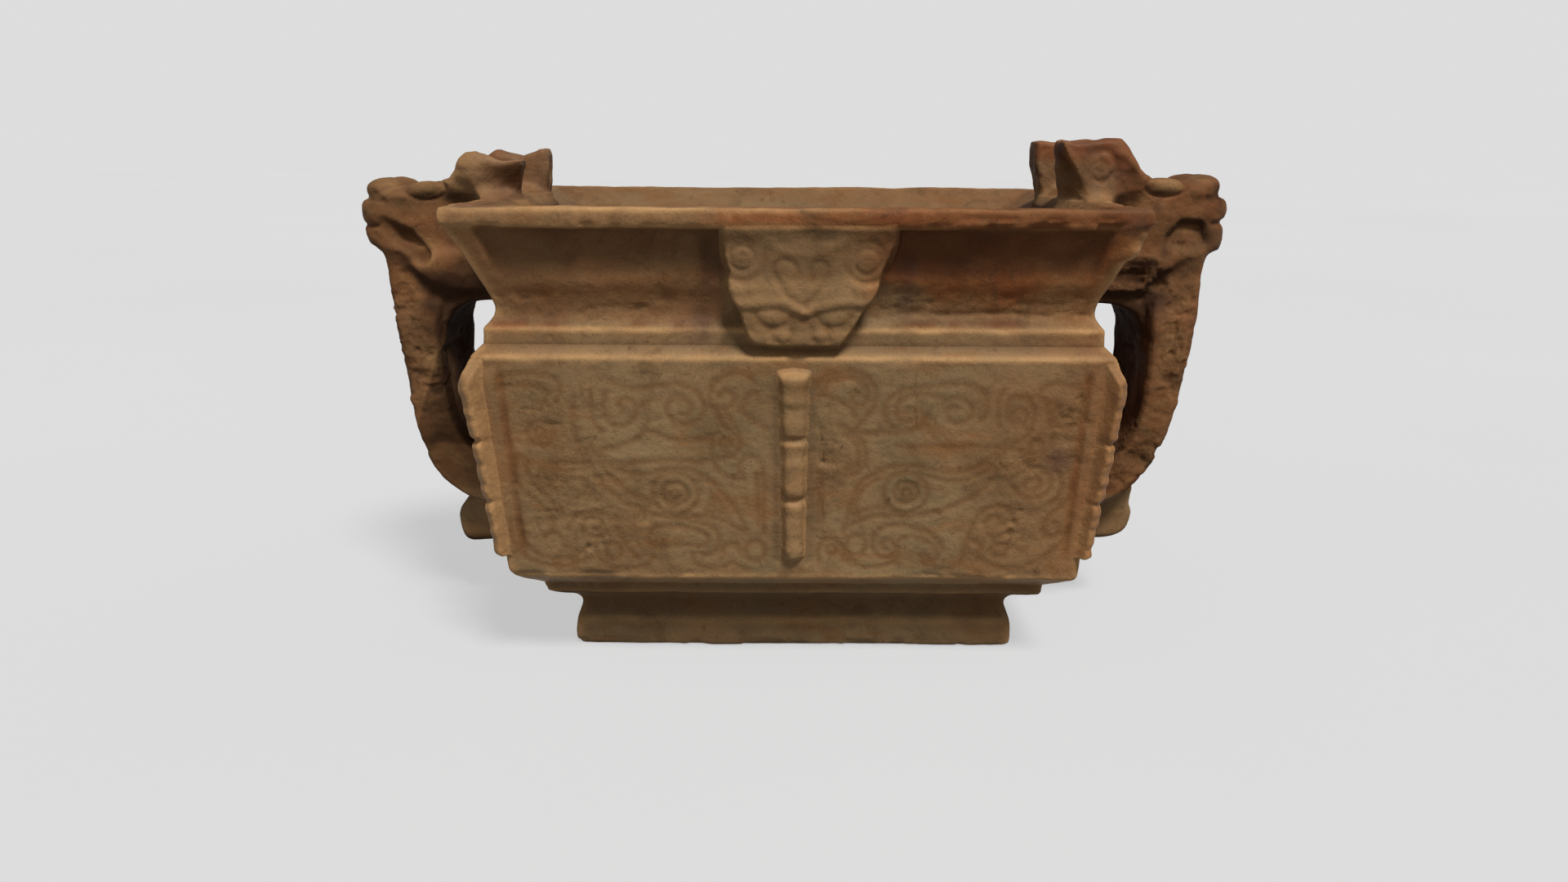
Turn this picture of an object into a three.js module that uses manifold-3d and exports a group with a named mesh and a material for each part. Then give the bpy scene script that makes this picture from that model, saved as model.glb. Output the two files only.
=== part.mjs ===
// Rectangular two-handled bowl in carved stone: flared neck, tapering belly with flanges,
// stepped foot, animal-head strap handles and a relief mask on the front and back of the neck.
// Millimetres. +Z up, +X towards the right-hand handle, -Y towards the front.
// Origin: centre of the footprint, on the surface that the foot stands on.
import * as THREE from 'three';
import { mergeVertices } from 'three/addons/utils/BufferGeometryUtils.js';
import Module from 'manifold-3d';

// ---- driving dimensions -------------------------------------------------------------
const RIM_W = 120;          // rim, side to side (X)
const RIM_D = 84;           // rim, front to back (Y)
const RIM_H = 87.5;         // height of the rim's top face
const GAP = 0.3;            // line left between neighbouring carved members
const BODY_Z0 = 15.55;      // underside of the belly member
const NECK_Z0 = 63.6;       // underside of the neck member
const CAVITY_FLOOR = 22;    // inside floor of the bowl
const FOOT_RECESS = 8;      // depth of the hollow under the foot
const FOOT_WALL_INSET = 25; // inner face of the foot ring, measured in from the rim edge
const HEAD_HALF = 11;       // half width of a handle's animal head (Y)
const STRAP_HALF = 12;      // half width of a strap handle (Y)
const EAR_Y0 = 6.2;         // inner face of an ear
const EAR_Y1 = 14.2;        // outer face of an ear
const MASK_FACE_Y = 41.4;   // how far out the mask's face stands
const HALF_DIFF = (RIM_W - RIM_D) / 2;

// Outer section, as [inset from the rim's edge, height].
const NECK_OUT = [[4.85, NECK_Z0], [5.2, 66.3], [7.1, 68.6], [6.5, 71.6], [4.63, 75.5], [2.76, 79.9], [0.6, 84.3], [0, RIM_H]];
const NECK_IN = [[14, NECK_Z0], [13.9, 72], [13.5, 80], [11.5, 83.2], [7.5, 85.6], [4.4, RIM_H]];
const BELLY_OUT = [[11.35, BODY_Z0], [6.35, 18.7], [3.0, 61.5], [4.85, NECK_Z0 - GAP]];
const BELLY_IN = [[15, CAVITY_FLOOR], [14, NECK_Z0 - GAP]];
const FOOT_OUT = [[16.1, 0], [16.0, 2.8], [16.3, 5.3], [17.6, 9.0], [11.6, 13.4], [11.35, BODY_Z0 - GAP]];

const bellyInset = (z) => 3.0 + (61.5 - z) / (61.5 - 18.7) * 3.35;

// ---- solids -------------------------------------------------------------------------
const wasm = await Module();
wasm.setup();

function clean(geometry) {
  const g = geometry.clone();
  g.deleteAttribute('normal');
  g.deleteAttribute('uv');
  const merged = mergeVertices(g, 1e-4);
  const idx = merged.index.array;
  const kept = [];
  for (let i = 0; i < idx.length; i += 3) {
    const a = idx[i], b = idx[i + 1], c = idx[i + 2];
    if (a !== b && b !== c && c !== a) kept.push(a, b, c);
  }
  const p = merged.attributes.position.array;
  let volume = 0;
  for (let i = 0; i < kept.length; i += 3) {
    const [a, b, c] = [kept[i] * 3, kept[i + 1] * 3, kept[i + 2] * 3];
    volume += p[a] * (p[b + 1] * p[c + 2] - p[b + 2] * p[c + 1])
      - p[a + 1] * (p[b] * p[c + 2] - p[b + 2] * p[c])
      + p[a + 2] * (p[b] * p[c + 1] - p[b + 1] * p[c]);
  }
  if (volume < 0) for (let i = 0; i < kept.length; i += 3) [kept[i + 1], kept[i + 2]] = [kept[i + 2], kept[i + 1]];
  return { positions: Float32Array.from(p), triangles: Uint32Array.from(kept) };
}

function solid(geometry) {
  const { positions, triangles } = clean(geometry);
  return new wasm.Manifold(new wasm.Mesh({ numProp: 3, vertProperties: positions, triVerts: triangles }));
}

function geometryOf(manifold) {
  const m = manifold.getMesh();
  const g = new THREE.BufferGeometry();
  g.setAttribute('position', new THREE.BufferAttribute(Float32Array.from(m.vertProperties), 3));
  g.setIndex(new THREE.BufferAttribute(Uint32Array.from(m.triVerts), 1));
  return g;
}

function mirrored(geometry, axis) {
  const g = geometry.clone();
  const p = g.attributes.position;
  for (let i = 0; i < p.count; i++) {
    if (axis === 'x') p.setX(i, -p.getX(i)); else p.setY(i, -p.getY(i));
  }
  const idx = g.index.array;
  for (let i = 0; i < idx.length; i += 3) [idx[i + 1], idx[i + 2]] = [idx[i + 2], idx[i + 1]];
  return g;
}

// A four-sided turned solid, stretched to the bowl's rectangular plan.
function rectSolid(section, grow = 0) {
  const pts = [new THREE.Vector2(0, section[0][1])];
  for (const [inset, z] of section) pts.push(new THREE.Vector2((RIM_D / 2 - inset + grow) * Math.SQRT2, z));
  pts.push(new THREE.Vector2(0, section[section.length - 1][1]));
  const g = new THREE.LatheGeometry(pts, 4, Math.PI / 4);
  const p = g.attributes.position;
  for (let i = 0; i <= 4; i++) {
    const side = Math.sign(Math.sin(Math.PI / 4 + i * Math.PI / 2));
    for (let j = 0; j < pts.length; j++) {
      const k = i * pts.length + j;
      p.setX(k, p.getX(k) + side * HALF_DIFF);
    }
  }
  g.rotateX(Math.PI / 2);
  return solid(g);
}

const toShape = (pts) => new THREE.Shape(pts.map(([a, b]) => new THREE.Vector2(a, b)));

// Outline in X-Z, thickness along Y from y0 to y1.
function slabXZ(outline, y0, y1, bevel = 0) {
  const depth = y1 - y0;
  const g = new THREE.ExtrudeGeometry(toShape(outline), {
    depth: depth - 2 * bevel, steps: 1, curveSegments: 8,
    bevelEnabled: bevel > 0, bevelThickness: bevel, bevelSize: bevel, bevelOffset: -bevel, bevelSegments: 2,
  });
  g.translate(0, 0, bevel - y1);
  g.rotateX(Math.PI / 2);
  return g;
}

// Outline in (outward, Z), thickness across, standing out along a horizontal direction.
function slabRadial(outline, direction, half, bevel = 0) {
  const g = new THREE.ExtrudeGeometry(toShape(outline), {
    depth: 2 * half - 2 * bevel, steps: 1, curveSegments: 8,
    bevelEnabled: bevel > 0, bevelThickness: bevel, bevelSize: bevel, bevelOffset: -bevel, bevelSegments: 1,
  });
  g.translate(0, 0, bevel - half);
  const u = new THREE.Vector3(direction[0], direction[1], 0).normalize();
  const k = new THREE.Vector3(0, 0, 1);
  g.applyMatrix4(new THREE.Matrix4().makeBasis(u, k, new THREE.Vector3().crossVectors(u, k)));
  return g;
}

// Smooth open curve through the given points.
const through = (pts, n) => new THREE.SplineCurve(pts.map(([a, b]) => new THREE.Vector2(a, b))).getPoints(n).map((v) => [v.x, v.y]);

function ellipse(cx, cz, rx, rz, turn = 0, n = 14) {
  const out = [];
  for (let i = 0; i < n; i++) {
    const t = i / n * 2 * Math.PI;
    const a = rx * Math.cos(t), b = rz * Math.sin(t);
    out.push([cx + a * Math.cos(turn) - b * Math.sin(turn), cz + a * Math.sin(turn) + b * Math.cos(turn)]);
  }
  return out;
}

// ---- vessel -------------------------------------------------------------------------
const neck = rectSolid(NECK_OUT).subtract(rectSolid([[14, NECK_Z0 - 2], ...NECK_IN.slice(0), [1.0, RIM_H + 2]]));
const belly = rectSolid(BELLY_OUT).subtract(rectSolid([...BELLY_IN, [13.95, NECK_Z0 + 2]]));
const recess = [[FOOT_WALL_INSET - 0.6, -2], [FOOT_WALL_INSET, FOOT_RECESS]];
const foot = rectSolid(FOOT_OUT).subtract(rectSolid(recess));

// The vessel's whole outside, grown by the gap: what attached members are cut back from.
const keepOut = rectSolid([
  [11.35, BODY_Z0 - GAP], [6.35, 18.7], [3.0, 61.5], [4.85, 63.45], [5.2, 66.3], [7.1, 68.6], [6.5, 71.6],
  [4.63, 75.5], [2.76, 79.9], [0.6, 84.3], [0, RIM_H + GAP],
], GAP);

// ---- right-hand handle --------------------------------------------------------------
const HEAD_TOP = 91.6;
const headOutline = [
  [52.6, 87.0], [52.6, 90.4], [54.2, HEAD_TOP], [67.2, HEAD_TOP], [70.2, 92.2], [74, 91.8], [78.2, 90.6],
  [82.5, 89.4], [86.2, 87.6], [87.7, 85.4], [87.0, 83.0], [87.4, 77.8], [84.9, 75.3], [80, 74.9],
  [73.2, 73.9], [69.5, 71.4], [64, 70.1], [57, 69.9], [50.5, 70.6], [50.5, 87.0],
];
const noseKnob = [[78.4, 88.5], [79.2, 91.0], [81.5, 91.7], [84.3, 91.5], [86.0, 90.2], [86.2, 87.4], [82, 86.5]];
const browOutline = ellipse(71.8, 89.6, 4.4, 2.6, 0.05);
const mouthOutline = [[73.6, 76.4], [75.6, 75.9], [78.6, 78.2], [81.3, 82.0], [80.7, 83.4], [77.6, 82.2], [74.6, 79.4]];

let head = solid(slabXZ(headOutline, -HEAD_HALF, HEAD_HALF, 1.4));
head = head.add(solid(slabXZ(noseKnob, -3.4, 3.4, 0.8)));
for (const s of [-1, 1]) {
  const [a, b] = s < 0 ? [-HEAD_HALF - 0.9, -HEAD_HALF + 3] : [HEAD_HALF - 3, HEAD_HALF + 0.9];
  head = head.add(solid(slabXZ(browOutline, a, b, 0.6)));
  const [c, d] = s < 0 ? [-HEAD_HALF - 2, -HEAD_HALF + 4.2] : [HEAD_HALF - 4.2, HEAD_HALF + 2];
  head = head.subtract(solid(slabXZ(mouthOutline, c, d)));
}
head = head.subtract(keepOut);

const earOutline = [
  [51.2, HEAD_TOP + GAP], [50.0, 93.8], [50.2, 96.8], [51.4, 98.4], [54.8, 98.0], [58.8, 98.8], [62.2, 98.8],
  [63.9, 97.4], [65.3, 95.3], [66.2, 93.3], [66.5, HEAD_TOP + GAP],
];
const earFront = solid(slabXZ(earOutline, -EAR_Y1, -EAR_Y0, 0.9)).subtract(keepOut);

const strapOuter = through([[82.4, 78], [82.1, 66.8], [81.6, 58.4], [80.8, 49.9], [79.6, 42.9], [77.7, 36.7], [74.9, 31.0], [70.6, 26.9], [64.5, 24.3], [58, 22.8], [50, 22.4]], 26);
const strapInner = through([[50, 33.8], [58, 33.6], [64.5, 35.2], [69.0, 38.6], [71.6, 43.2], [72.6, 50], [72.9, 60], [72.8, 78]], 18);
const strapOutline = [...strapOuter, ...strapInner];
const strap = solid(slabXZ(strapOutline, -STRAP_HALF, STRAP_HALF, 1.2))
  .subtract(keepOut)
  .subtract(solid(slabXZ(headOutline.map(([x, z]) => [x, z - GAP - 0.05]), -HEAD_HALF - 3, HEAD_HALF + 3)));

const pendantTop = strapOuter.filter(([x]) => x > 50 && x < 71.2).reverse().map(([x, z]) => [x, z - GAP - 0.05]);
const pendantOutline = [...pendantTop, [71.6, 24.0], [71.5, 21.2], [70.2, 17.9], [66.4, 16.4], [59, 16.0], [50, 16.4]];
const pendant = solid(slabXZ(pendantOutline, -5.2, 5.2, 0.7)).subtract(keepOut);

// ---- front mask ---------------------------------------------------------------------
const maskOutline = [
  [-8.2, 64.2], [-11.0, 69.8], [-11.6, 73.2], [-13.0, 77.2], [-13.6, 83.0], [-6.4, 83.6], [1.2, 82.6], [9.2, 83.6],
  [16.6, 83.2], [15.6, 77.4], [14.2, 73.4], [12.6, 69.6], [8.8, 64.0],
];
const mask = solid(slabXZ(maskOutline, -MASK_FACE_Y, -30, 1.6)).subtract(keepOut);

// ---- flanges ------------------------------------------------------------------------
// Stepped outer edge with two deep notches; `out` is the distance beyond the belly surface.
function flangeEdge(base, rate, out, z0, z1, notches) {
  const at = (z) => base + (z - 18.7) * rate;
  const pts = [[at(z0) - 6, z0], [at(z0) + out * 0.55, z0], [at(z0 + 1.2) + out, z0 + 1.2]];
  for (const n of notches) {
    pts.push([at(n - 1.0) + out, n - 1.0], [at(n - 0.45) + out * 0.35, n - 0.45], [at(n + 0.45) + out * 0.35, n + 0.45], [at(n + 1.0) + out, n + 1.0]);
  }
  pts.push([at(z1 - 1.2) + out, z1 - 1.2], [at(z1) + out * 0.5, z1], [at(z1) - 6, z1]);
  return pts;
}
const TAPER = 3.35 / 42.8;
const frontEdge = flangeEdge(RIM_D / 2 - 6.35, TAPER, 1.9, 23.3, 58.9, [35, 47]);
const flangeGeometry = slabRadial(frontEdge, [0, -1], 2.4, 0.35);
{
  const p = flangeGeometry.attributes.position;
  for (let i = 0; i < p.count; i++) p.setX(i, p.getX(i) * (1.7 + (p.getZ(i) - 23.3) / 35.6 * 0.85) / 2.4);
}
const flangeFront = solid(flangeGeometry).subtract(keepOut);

// Corner flanges lie in the diagonal planes through the belly's vertical edges.
const diag = (z) => Math.SQRT2 * (RIM_D / 2 - bellyInset(z));
const cornerEdge = flangeEdge(diag(18.7), TAPER * Math.SQRT2, 1.15, 23.8, 57.6, [34.6, 46.4]);
const cornerGeometry = slabRadial(cornerEdge, [1, -1], 1.65, 0.3);
cornerGeometry.translate(HALF_DIFF, 0, 0);
const flangeCorner = solid(cornerGeometry).subtract(keepOut);

// ---- assembly -----------------------------------------------------------------------
const group = new THREE.Group();
group.name = 'handled_bowl';

function add(name, geometry, color) {
  const flat = geometry.toNonIndexed();
  flat.computeVertexNormals();
  const mesh = new THREE.Mesh(flat, new THREE.MeshStandardMaterial({ color, roughness: 0.5, metalness: 0 }));
  mesh.name = name;
  group.add(mesh);
}

const TAN = 0x8d6d46, RUSSET = 0x83502b, UMBER = 0x5f4029;
add('bowl_body', geometryOf(belly), TAN);
add('neck_rim', geometryOf(neck), RUSSET);
add('foot_ring', geometryOf(foot), UMBER);

const headG = geometryOf(head), earG = geometryOf(earFront), strapG = geometryOf(strap), pendantG = geometryOf(pendant);
add('right_head', headG, RUSSET);
add('left_head', mirrored(headG, 'x'), RUSSET);
add('right_ear_front', earG, RUSSET);
add('right_ear_back', mirrored(earG, 'y'), RUSSET);
add('left_ear_front', mirrored(earG, 'x'), RUSSET);
add('left_ear_back', mirrored(mirrored(earG, 'x'), 'y'), RUSSET);
add('right_strap', strapG, UMBER);
add('left_strap', mirrored(strapG, 'x'), UMBER);
add('right_pendant', pendantG, UMBER);
add('left_pendant', mirrored(pendantG, 'x'), UMBER);

const maskG = geometryOf(mask);
add('front_mask', maskG, TAN);
add('back_mask', mirrored(mirrored(maskG, 'y'), 'x'), TAN);

const flangeG = geometryOf(flangeFront), cornerG = geometryOf(flangeCorner);
add('flange_front', flangeG, TAN);
add('flange_back', mirrored(flangeG, 'y'), TAN);
add('flange_front_right', cornerG, TAN);
add('flange_back_right', mirrored(cornerG, 'y'), TAN);
add('flange_front_left', mirrored(cornerG, 'x'), TAN);
add('flange_back_left', mirrored(mirrored(cornerG, 'x'), 'y'), TAN);

export default group;
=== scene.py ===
# Looks for the carved jade handled bowl. Everything is worked out in millimetres in the part's
# frame (+Z up, +X to the right-hand handle, -Y to the front) and scaled to metres at the end.
import math

import bmesh
import bpy
import numpy as np
from mathutils import Matrix, Vector


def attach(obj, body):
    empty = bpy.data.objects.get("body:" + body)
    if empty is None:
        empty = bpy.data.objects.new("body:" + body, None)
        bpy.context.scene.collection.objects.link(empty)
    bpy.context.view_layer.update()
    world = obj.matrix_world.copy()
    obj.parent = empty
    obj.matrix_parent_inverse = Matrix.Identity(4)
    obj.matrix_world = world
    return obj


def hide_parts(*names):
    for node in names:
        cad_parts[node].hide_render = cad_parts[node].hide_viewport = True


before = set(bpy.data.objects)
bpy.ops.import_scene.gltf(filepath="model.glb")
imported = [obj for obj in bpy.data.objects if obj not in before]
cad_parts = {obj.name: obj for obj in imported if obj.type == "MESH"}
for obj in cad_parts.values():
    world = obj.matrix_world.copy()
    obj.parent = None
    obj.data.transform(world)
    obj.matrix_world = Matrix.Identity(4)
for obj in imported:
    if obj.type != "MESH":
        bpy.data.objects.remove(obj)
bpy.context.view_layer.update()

# =====================================================================================
# camera model, also used to place the carved lines
# =====================================================================================
RIM_W, RIM_D, RIM_H = 120.0, 84.0, 87.5
CAM_Y, CAM_Z = -222.24, RIM_H + 10.98
PITCH = math.radians(15.8)
FOCAL = 540.0 / math.tan(math.radians(22.5))
CENTRE_X = 972.0
BELLY_BOT, BELLY_TOP = 18.7, 61.5
TAPER = 3.35 / (BELLY_TOP - BELLY_BOT)


def sight(px, py):
    """Direction of the sight line through a point of the 1920 x 1080 frame."""
    dx = (px - CENTRE_X) / FOCAL
    up = (540.0 - py) / FOCAL
    return np.array([dx, math.cos(PITCH) + up * math.sin(PITCH), -math.sin(PITCH) + up * math.cos(PITCH)])


def on_plane(px, py, y_at_z0, slope=0.0):
    """Where that line meets the sloping plane Y = y_at_z0 + slope * Z. Returns X, Z."""
    r = sight(px, py)
    t = (y_at_z0 + slope * CAM_Z - CAM_Y) / (r[1] - slope * r[2])
    return float(t * r[0]), float(CAM_Z + t * r[2])


def on_belly(px, py):
    return on_plane(px, py, -(RIM_D / 2 - 3.0 - BELLY_TOP * TAPER), -TAPER)


# =====================================================================================
# noise
# =====================================================================================
def _hash(ix, iy, iz, seed):
    h = (ix * 73856093) ^ (iy * 19349663) ^ (iz * 83492791) ^ (seed * 40503 + 977)
    h &= 0xFFFFFFFF
    h = ((h ^ (h >> 16)) * 0x45D9F3B) & 0xFFFFFFFF
    h = ((h ^ (h >> 16)) * 0x45D9F3B) & 0xFFFFFFFF
    h ^= h >> 16
    return h / 4294967295.0


def vnoise(P, scale, seed=0):
    """Smooth value noise, -1 to 1. P is (n, 3) in mm."""
    q = P / scale
    i = np.floor(q).astype(np.int64)
    f = q - i
    f = f * f * f * (f * (f * 6 - 15) + 10)
    x, y, z = f[:, 0], f[:, 1], f[:, 2]
    ix, iy, iz = i[:, 0], i[:, 1], i[:, 2]
    out = 0.0
    for dx in (0, 1):
        wx = x if dx else 1 - x
        for dy in (0, 1):
            wy = y if dy else 1 - y
            for dz in (0, 1):
                wz = z if dz else 1 - z
                out = out + wx * wy * wz * _hash(ix + dx, iy + dy, iz + dz, seed)
    return out * 2 - 1


def fbm(P, scale, octaves=3, seed=0, gain=0.5):
    out, amp, tot = 0.0, 1.0, 0.0
    for o in range(octaves):
        out = out + amp * vnoise(P + 13.7 * o, scale / (1.97 ** o), seed + 31 * o)
        tot += amp
        amp *= gain
    return out / tot


def cells(P, cell, seed=0):
    """Nearest scattered point: distance in cell units, and that point's random number."""
    q = P / cell
    i = np.floor(q).astype(np.int64)
    best = np.full(len(P), 9.0)
    rnd = np.zeros(len(P))
    for dx in (-1, 0, 1):
        for dy in (-1, 0, 1):
            for dz in (-1, 0, 1):
                cx, cy, cz = i[:, 0] + dx, i[:, 1] + dy, i[:, 2] + dz
                px = cx + _hash(cx, cy, cz, seed + 1)
                py = cy + _hash(cx, cy, cz, seed + 2)
                pz = cz + _hash(cx, cy, cz, seed + 3)
                d = (q[:, 0] - px) ** 2 + (q[:, 1] - py) ** 2 + (q[:, 2] - pz) ** 2
                m = d < best
                best[m] = d[m]
                rnd[m] = _hash(cx, cy, cz, seed + 4)[m]
    return np.sqrt(best), rnd


def smooth(a, b, x):
    t = np.clip((x - a) / (b - a), 0, 1)
    return t * t * (3 - 2 * t)


def along(P, pts, width):
    """1 on a line drawn through space, falling off over width."""
    best = np.full(len(P), 1e9)
    for a, b in zip(pts[:-1], pts[1:]):
        a, b = np.array(a, float), np.array(b, float)
        e = b - a
        t = np.clip(((P - a) @ e) / (e @ e), 0, 1)
        best = np.minimum(best, ((P - a - t[:, None] * e) ** 2).sum(1))
    return np.exp(-best / width ** 2)


def blob(P, c, r):
    """1 at c, falling to 0 at the radii r."""
    q = (P - np.array(c, float)) / np.array(r, float)
    return np.clip(1 - (q * q).sum(1), 0, 1) ** 1.5


# =====================================================================================
# vessel section
# =====================================================================================
OUT_SECTION = [  # inset from the rim's edge, height: the whole outside, foot to rim
    (16.1, 0.0), (16.0, 2.8), (16.3, 5.3), (17.6, 9.0), (11.6, 13.4), (11.35, 15.55), (6.35, 18.7), (3.0, 61.5),
    (4.85, 63.45), (5.2, 66.3), (7.1, 68.6), (6.5, 71.6), (4.63, 75.5), (2.76, 79.9), (0.75, 83.9), (0.0, 85.0), (0.1, 87.5),
]
_oz = np.array([p[1] for p in OUT_SECTION])
_oi = np.array([p[0] for p in OUT_SECTION])


def outer_inset(z):
    return np.interp(z, _oz, _oi)


def rough_places(P):
    """How weathered the surface is at each point, 0 to 1, after the places the piece shows."""
    w = np.zeros(len(P))
    front = P[:, 1] < -20
    for c, r in (
        ((-42, -36, 37), (16, 9, 15)), ((-38, -36, 26), (12, 9, 9)), ((-47, -38, 52), (8, 9, 8)),
        ((-40, -37, 51), (13, 8, 6)), ((-26, -36, 35), (9, 9, 8)), ((6.5, -37, 44), (4.2, 8, 15)),
        ((32, -37, 69.5), (34, 7, 4.5)), ((18, -37, 70), (9, 7, 9)), ((40, -36, 29), (7, 8, 8)),
        ((-38, -37, 69), (24, 7, 3.4)), ((40, -37, 42), (8, 8, 7)), ((50, -38, 48), (6, 8, 14)),
    ):
        w = np.maximum(w, blob(P, c, r) * 1.0)
    w[~front] = 0
    for c, r in (((70, -10, 70), (12, 9, 8)), ((77, -9, 58), (7, 7, 22)), ((73, -9, 40), (8, 8, 16)), ((-77, -10, 60), (7, 6, 22)),
                 ((-72, -9, 38), (8, 7, 12)), ((62, -12, 72), (8, 8, 6))):
        w = np.maximum(w, blob(P, c, r) * 0.9)
    patch = 0.5 + 0.5 * fbm(P, 9.0, 3, 71)
    w = np.clip(w * (0.55 + 0.9 * patch), 0, 1)
    far = 0.22 * smooth(0.55, 0.9, 0.5 + 0.5 * fbm(P, 14.0, 2, 5))
    return np.maximum(w, far)


def carve_noise(P):
    """Height of the hand-worked surface above the true one, in mm, the same for every member."""
    h = 0.30 * fbm(P, 19.0, 2, 3) + 0.19 * fbm(P, 6.5, 2, 9) + 0.065 * fbm(P, 2.3, 2, 17)
    w = rough_places(P)
    st = P * np.array([0.55, 1.0, 1.35])
    crag = fbm(st, 5.2, 3, 23)
    small = fbm(st, 2.0, 2, 29)
    h = h + w * (0.16 * crag - 0.42 * smooth(0.05, 0.60, crag) - 0.16 * smooth(0.25, 0.65, small))
    d, rnd = cells(P, 3.1, 41)
    r = 0.10 + 0.30 * rnd
    pit = np.clip(1 - d / r, 0, 1)
    h = h - (0.12 + 0.30 * w) * smooth(0, 1, pit) * smooth(0.66, 0.92, rnd + 0.40 * w)
    return h


# =====================================================================================
# mesh helpers
# =====================================================================================
BODY = "root"
made = {}


def to_object(name, V, faces, nodes, material, attrs=None, uv=None):
    me = bpy.data.meshes.new(name)
    me.from_pydata((V * 0.001).tolist(), [], faces)
    me.validate()
    me.update()
    me.polygons.foreach_set("use_smooth", np.ones(len(me.polygons), dtype=bool))
    for k, a in (attrs or {}).items():
        at = me.attributes.new(k, "FLOAT", "POINT")
        at.data.foreach_set("value", np.asarray(a, dtype=np.float32))
    if uv is not None:
        layer = me.uv_layers.new(name="OFBake")
        loop_v = np.empty(len(me.loops), dtype=np.int32)
        me.loops.foreach_get("vertex_index", loop_v)
        layer.data.foreach_set("uv", uv(me, loop_v).astype(np.float32).ravel())
    ob = bpy.data.objects.new(name, me)
    bpy.context.scene.collection.objects.link(ob)
    me.materials.append(material)
    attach(ob, BODY)
    if nodes:
        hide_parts(*nodes)
    made[name] = ob
    return ob


def ring_layout(nf, ns, nb, nc):
    """Factors for one rounded-rectangle ring, anticlockwise from above, from the front left corner."""
    sx, sy, a, face = [], [], [], []

    def run(n, x0, x1, y0, y1, ang, f):
        for k in range(n):
            t = (k + 0.5) / n
            sx.append(x0 + (x1 - x0) * t); sy.append(y0 + (y1 - y0) * t); a.append(ang); face.append(f)

    def corner(x, y, a0):
        for k in range(nc):
            sx.append(x); sy.append(y); a.append(a0 + 90.0 * k / (nc - 1)); face.append(4)

    run(nf, -1, 1, -1, -1, -90, 0)
    corner(1, -1, -90)
    run(ns, 1, 1, -1, 1, 0, 1)
    corner(1, 1, 0)
    run(nb, 1, -1, 1, 1, 90, 2)
    corner(-1, 1, 90)
    run(ns, -1, -1, 1, -1, 180, 3)
    corner(-1, -1, 180)
    return np.array(sx), np.array(sy), np.radians(np.array(a)), np.array(face)


def sweep(section, layout, closed_ends=True):
    """section: (m, 3) array of inset, z, corner radius. Returns points, normals, face ids, quads."""
    sx, sy, a, face = layout
    n, m = len(sx), len(section)
    o, z, r = -section[:, 0], section[:, 1], section[:, 2]
    to, tz = np.gradient(o), np.gradient(z)
    ln = np.hypot(to, tz) + 1e-9
    nh, nv = tz / ln, -to / ln
    hx, hy = RIM_W / 2 + o - r, RIM_D / 2 + o - r
    hx, hy = np.maximum(hx, 0.02), np.maximum(hy, 0.02)
    X = sx[None, :] * hx[:, None] + r[:, None] * np.cos(a)[None, :]
    Y = sy[None, :] * hy[:, None] + r[:, None] * np.sin(a)[None, :]
    Z = np.repeat(z[:, None], n, 1)
    P = np.stack([X, Y, Z], -1).reshape(-1, 3)
    N = np.stack([nh[:, None] * np.cos(a)[None], nh[:, None] * np.sin(a)[None], np.repeat(nv[:, None], n, 1)], -1).reshape(-1, 3)
    F = np.repeat(face[None, :], m, 0).ravel()
    j, i = np.meshgrid(np.arange(m - 1), np.arange(n), indexing="ij")
    i2 = (i + 1) % n
    quads = np.stack([j * n + i, j * n + i2, (j + 1) * n + i2, (j + 1) * n + i], -1).reshape(-1, 4)
    return P, N, F, quads, n, m


def section_path(points, step, radius):
    """Resample (inset, z) corners with small rounds at each corner; radius is a number or one for each point."""
    pts = [np.array(p, float) for p in points]
    rad = radius if isinstance(radius, (list, tuple)) else [radius] * len(pts)
    out = [pts[0]]
    for k in range(1, len(pts) - 1):
        a, b, c = pts[k - 1], pts[k], pts[k + 1]
        u, v = a - b, c - b
        lu, lv = np.linalg.norm(u), np.linalg.norm(v)
        rr = min(rad[k], lu * 0.45, lv * 0.45)
        p0, p1 = b + u / lu * rr, b + v / lv * rr
        for t in np.linspace(0, 1, 5):
            out.append((1 - t) ** 2 * p0 + 2 * t * (1 - t) * b + t * t * p1)
    out.append(pts[-1])
    out = np.array(out)
    seg = np.hypot(*np.diff(out, axis=0).T)
    keep = np.concatenate([[True], seg > 1e-6])
    out = out[keep]
    s = np.concatenate([[0], np.cumsum(np.hypot(*np.diff(out, axis=0).T))])
    fine = [0.0]
    while fine[-1] < s[-1]:
        here = np.array([np.interp(fine[-1], s, out[:, 0]), np.interp(fine[-1], s, out[:, 1])])
        st = step(here) if callable(step) else step
        fine.append(fine[-1] + st)
    fine = np.array(fine)
    fine = fine * (s[-1] / fine[-1])
    return np.stack([np.interp(fine, s, out[:, 0]), np.interp(fine, s, out[:, 1])], 1)


# =====================================================================================
# carved lines, given as points of the frame and carried onto the belly's front plane
# =====================================================================================
def curve(pts, per=8):
    """Catmull-Rom through the points."""
    p = np.array(pts, float)
    if len(p) < 3:
        return p
    e = np.vstack([2 * p[0] - p[1], p, 2 * p[-1] - p[-2]])
    out = []
    for k in range(1, len(e) - 2):
        for t in np.arange(per) / per:
            out.append(0.5 * ((2 * e[k]) + (-e[k - 1] + e[k + 1]) * t + (2 * e[k - 1] - 5 * e[k] + 4 * e[k + 1] - e[k + 2]) * t * t
                              + (-e[k - 1] + 3 * e[k] - 3 * e[k + 1] + e[k + 2]) * t ** 3))
    out.append(e[-2])
    return np.array(out)


def circle(cx, cy, r, squash=1.0, n=40):
    t = np.linspace(0, 2 * math.pi, n + 1)
    return np.stack([cx + r * np.cos(t), cy + r * squash * np.sin(t)], 1)


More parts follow.
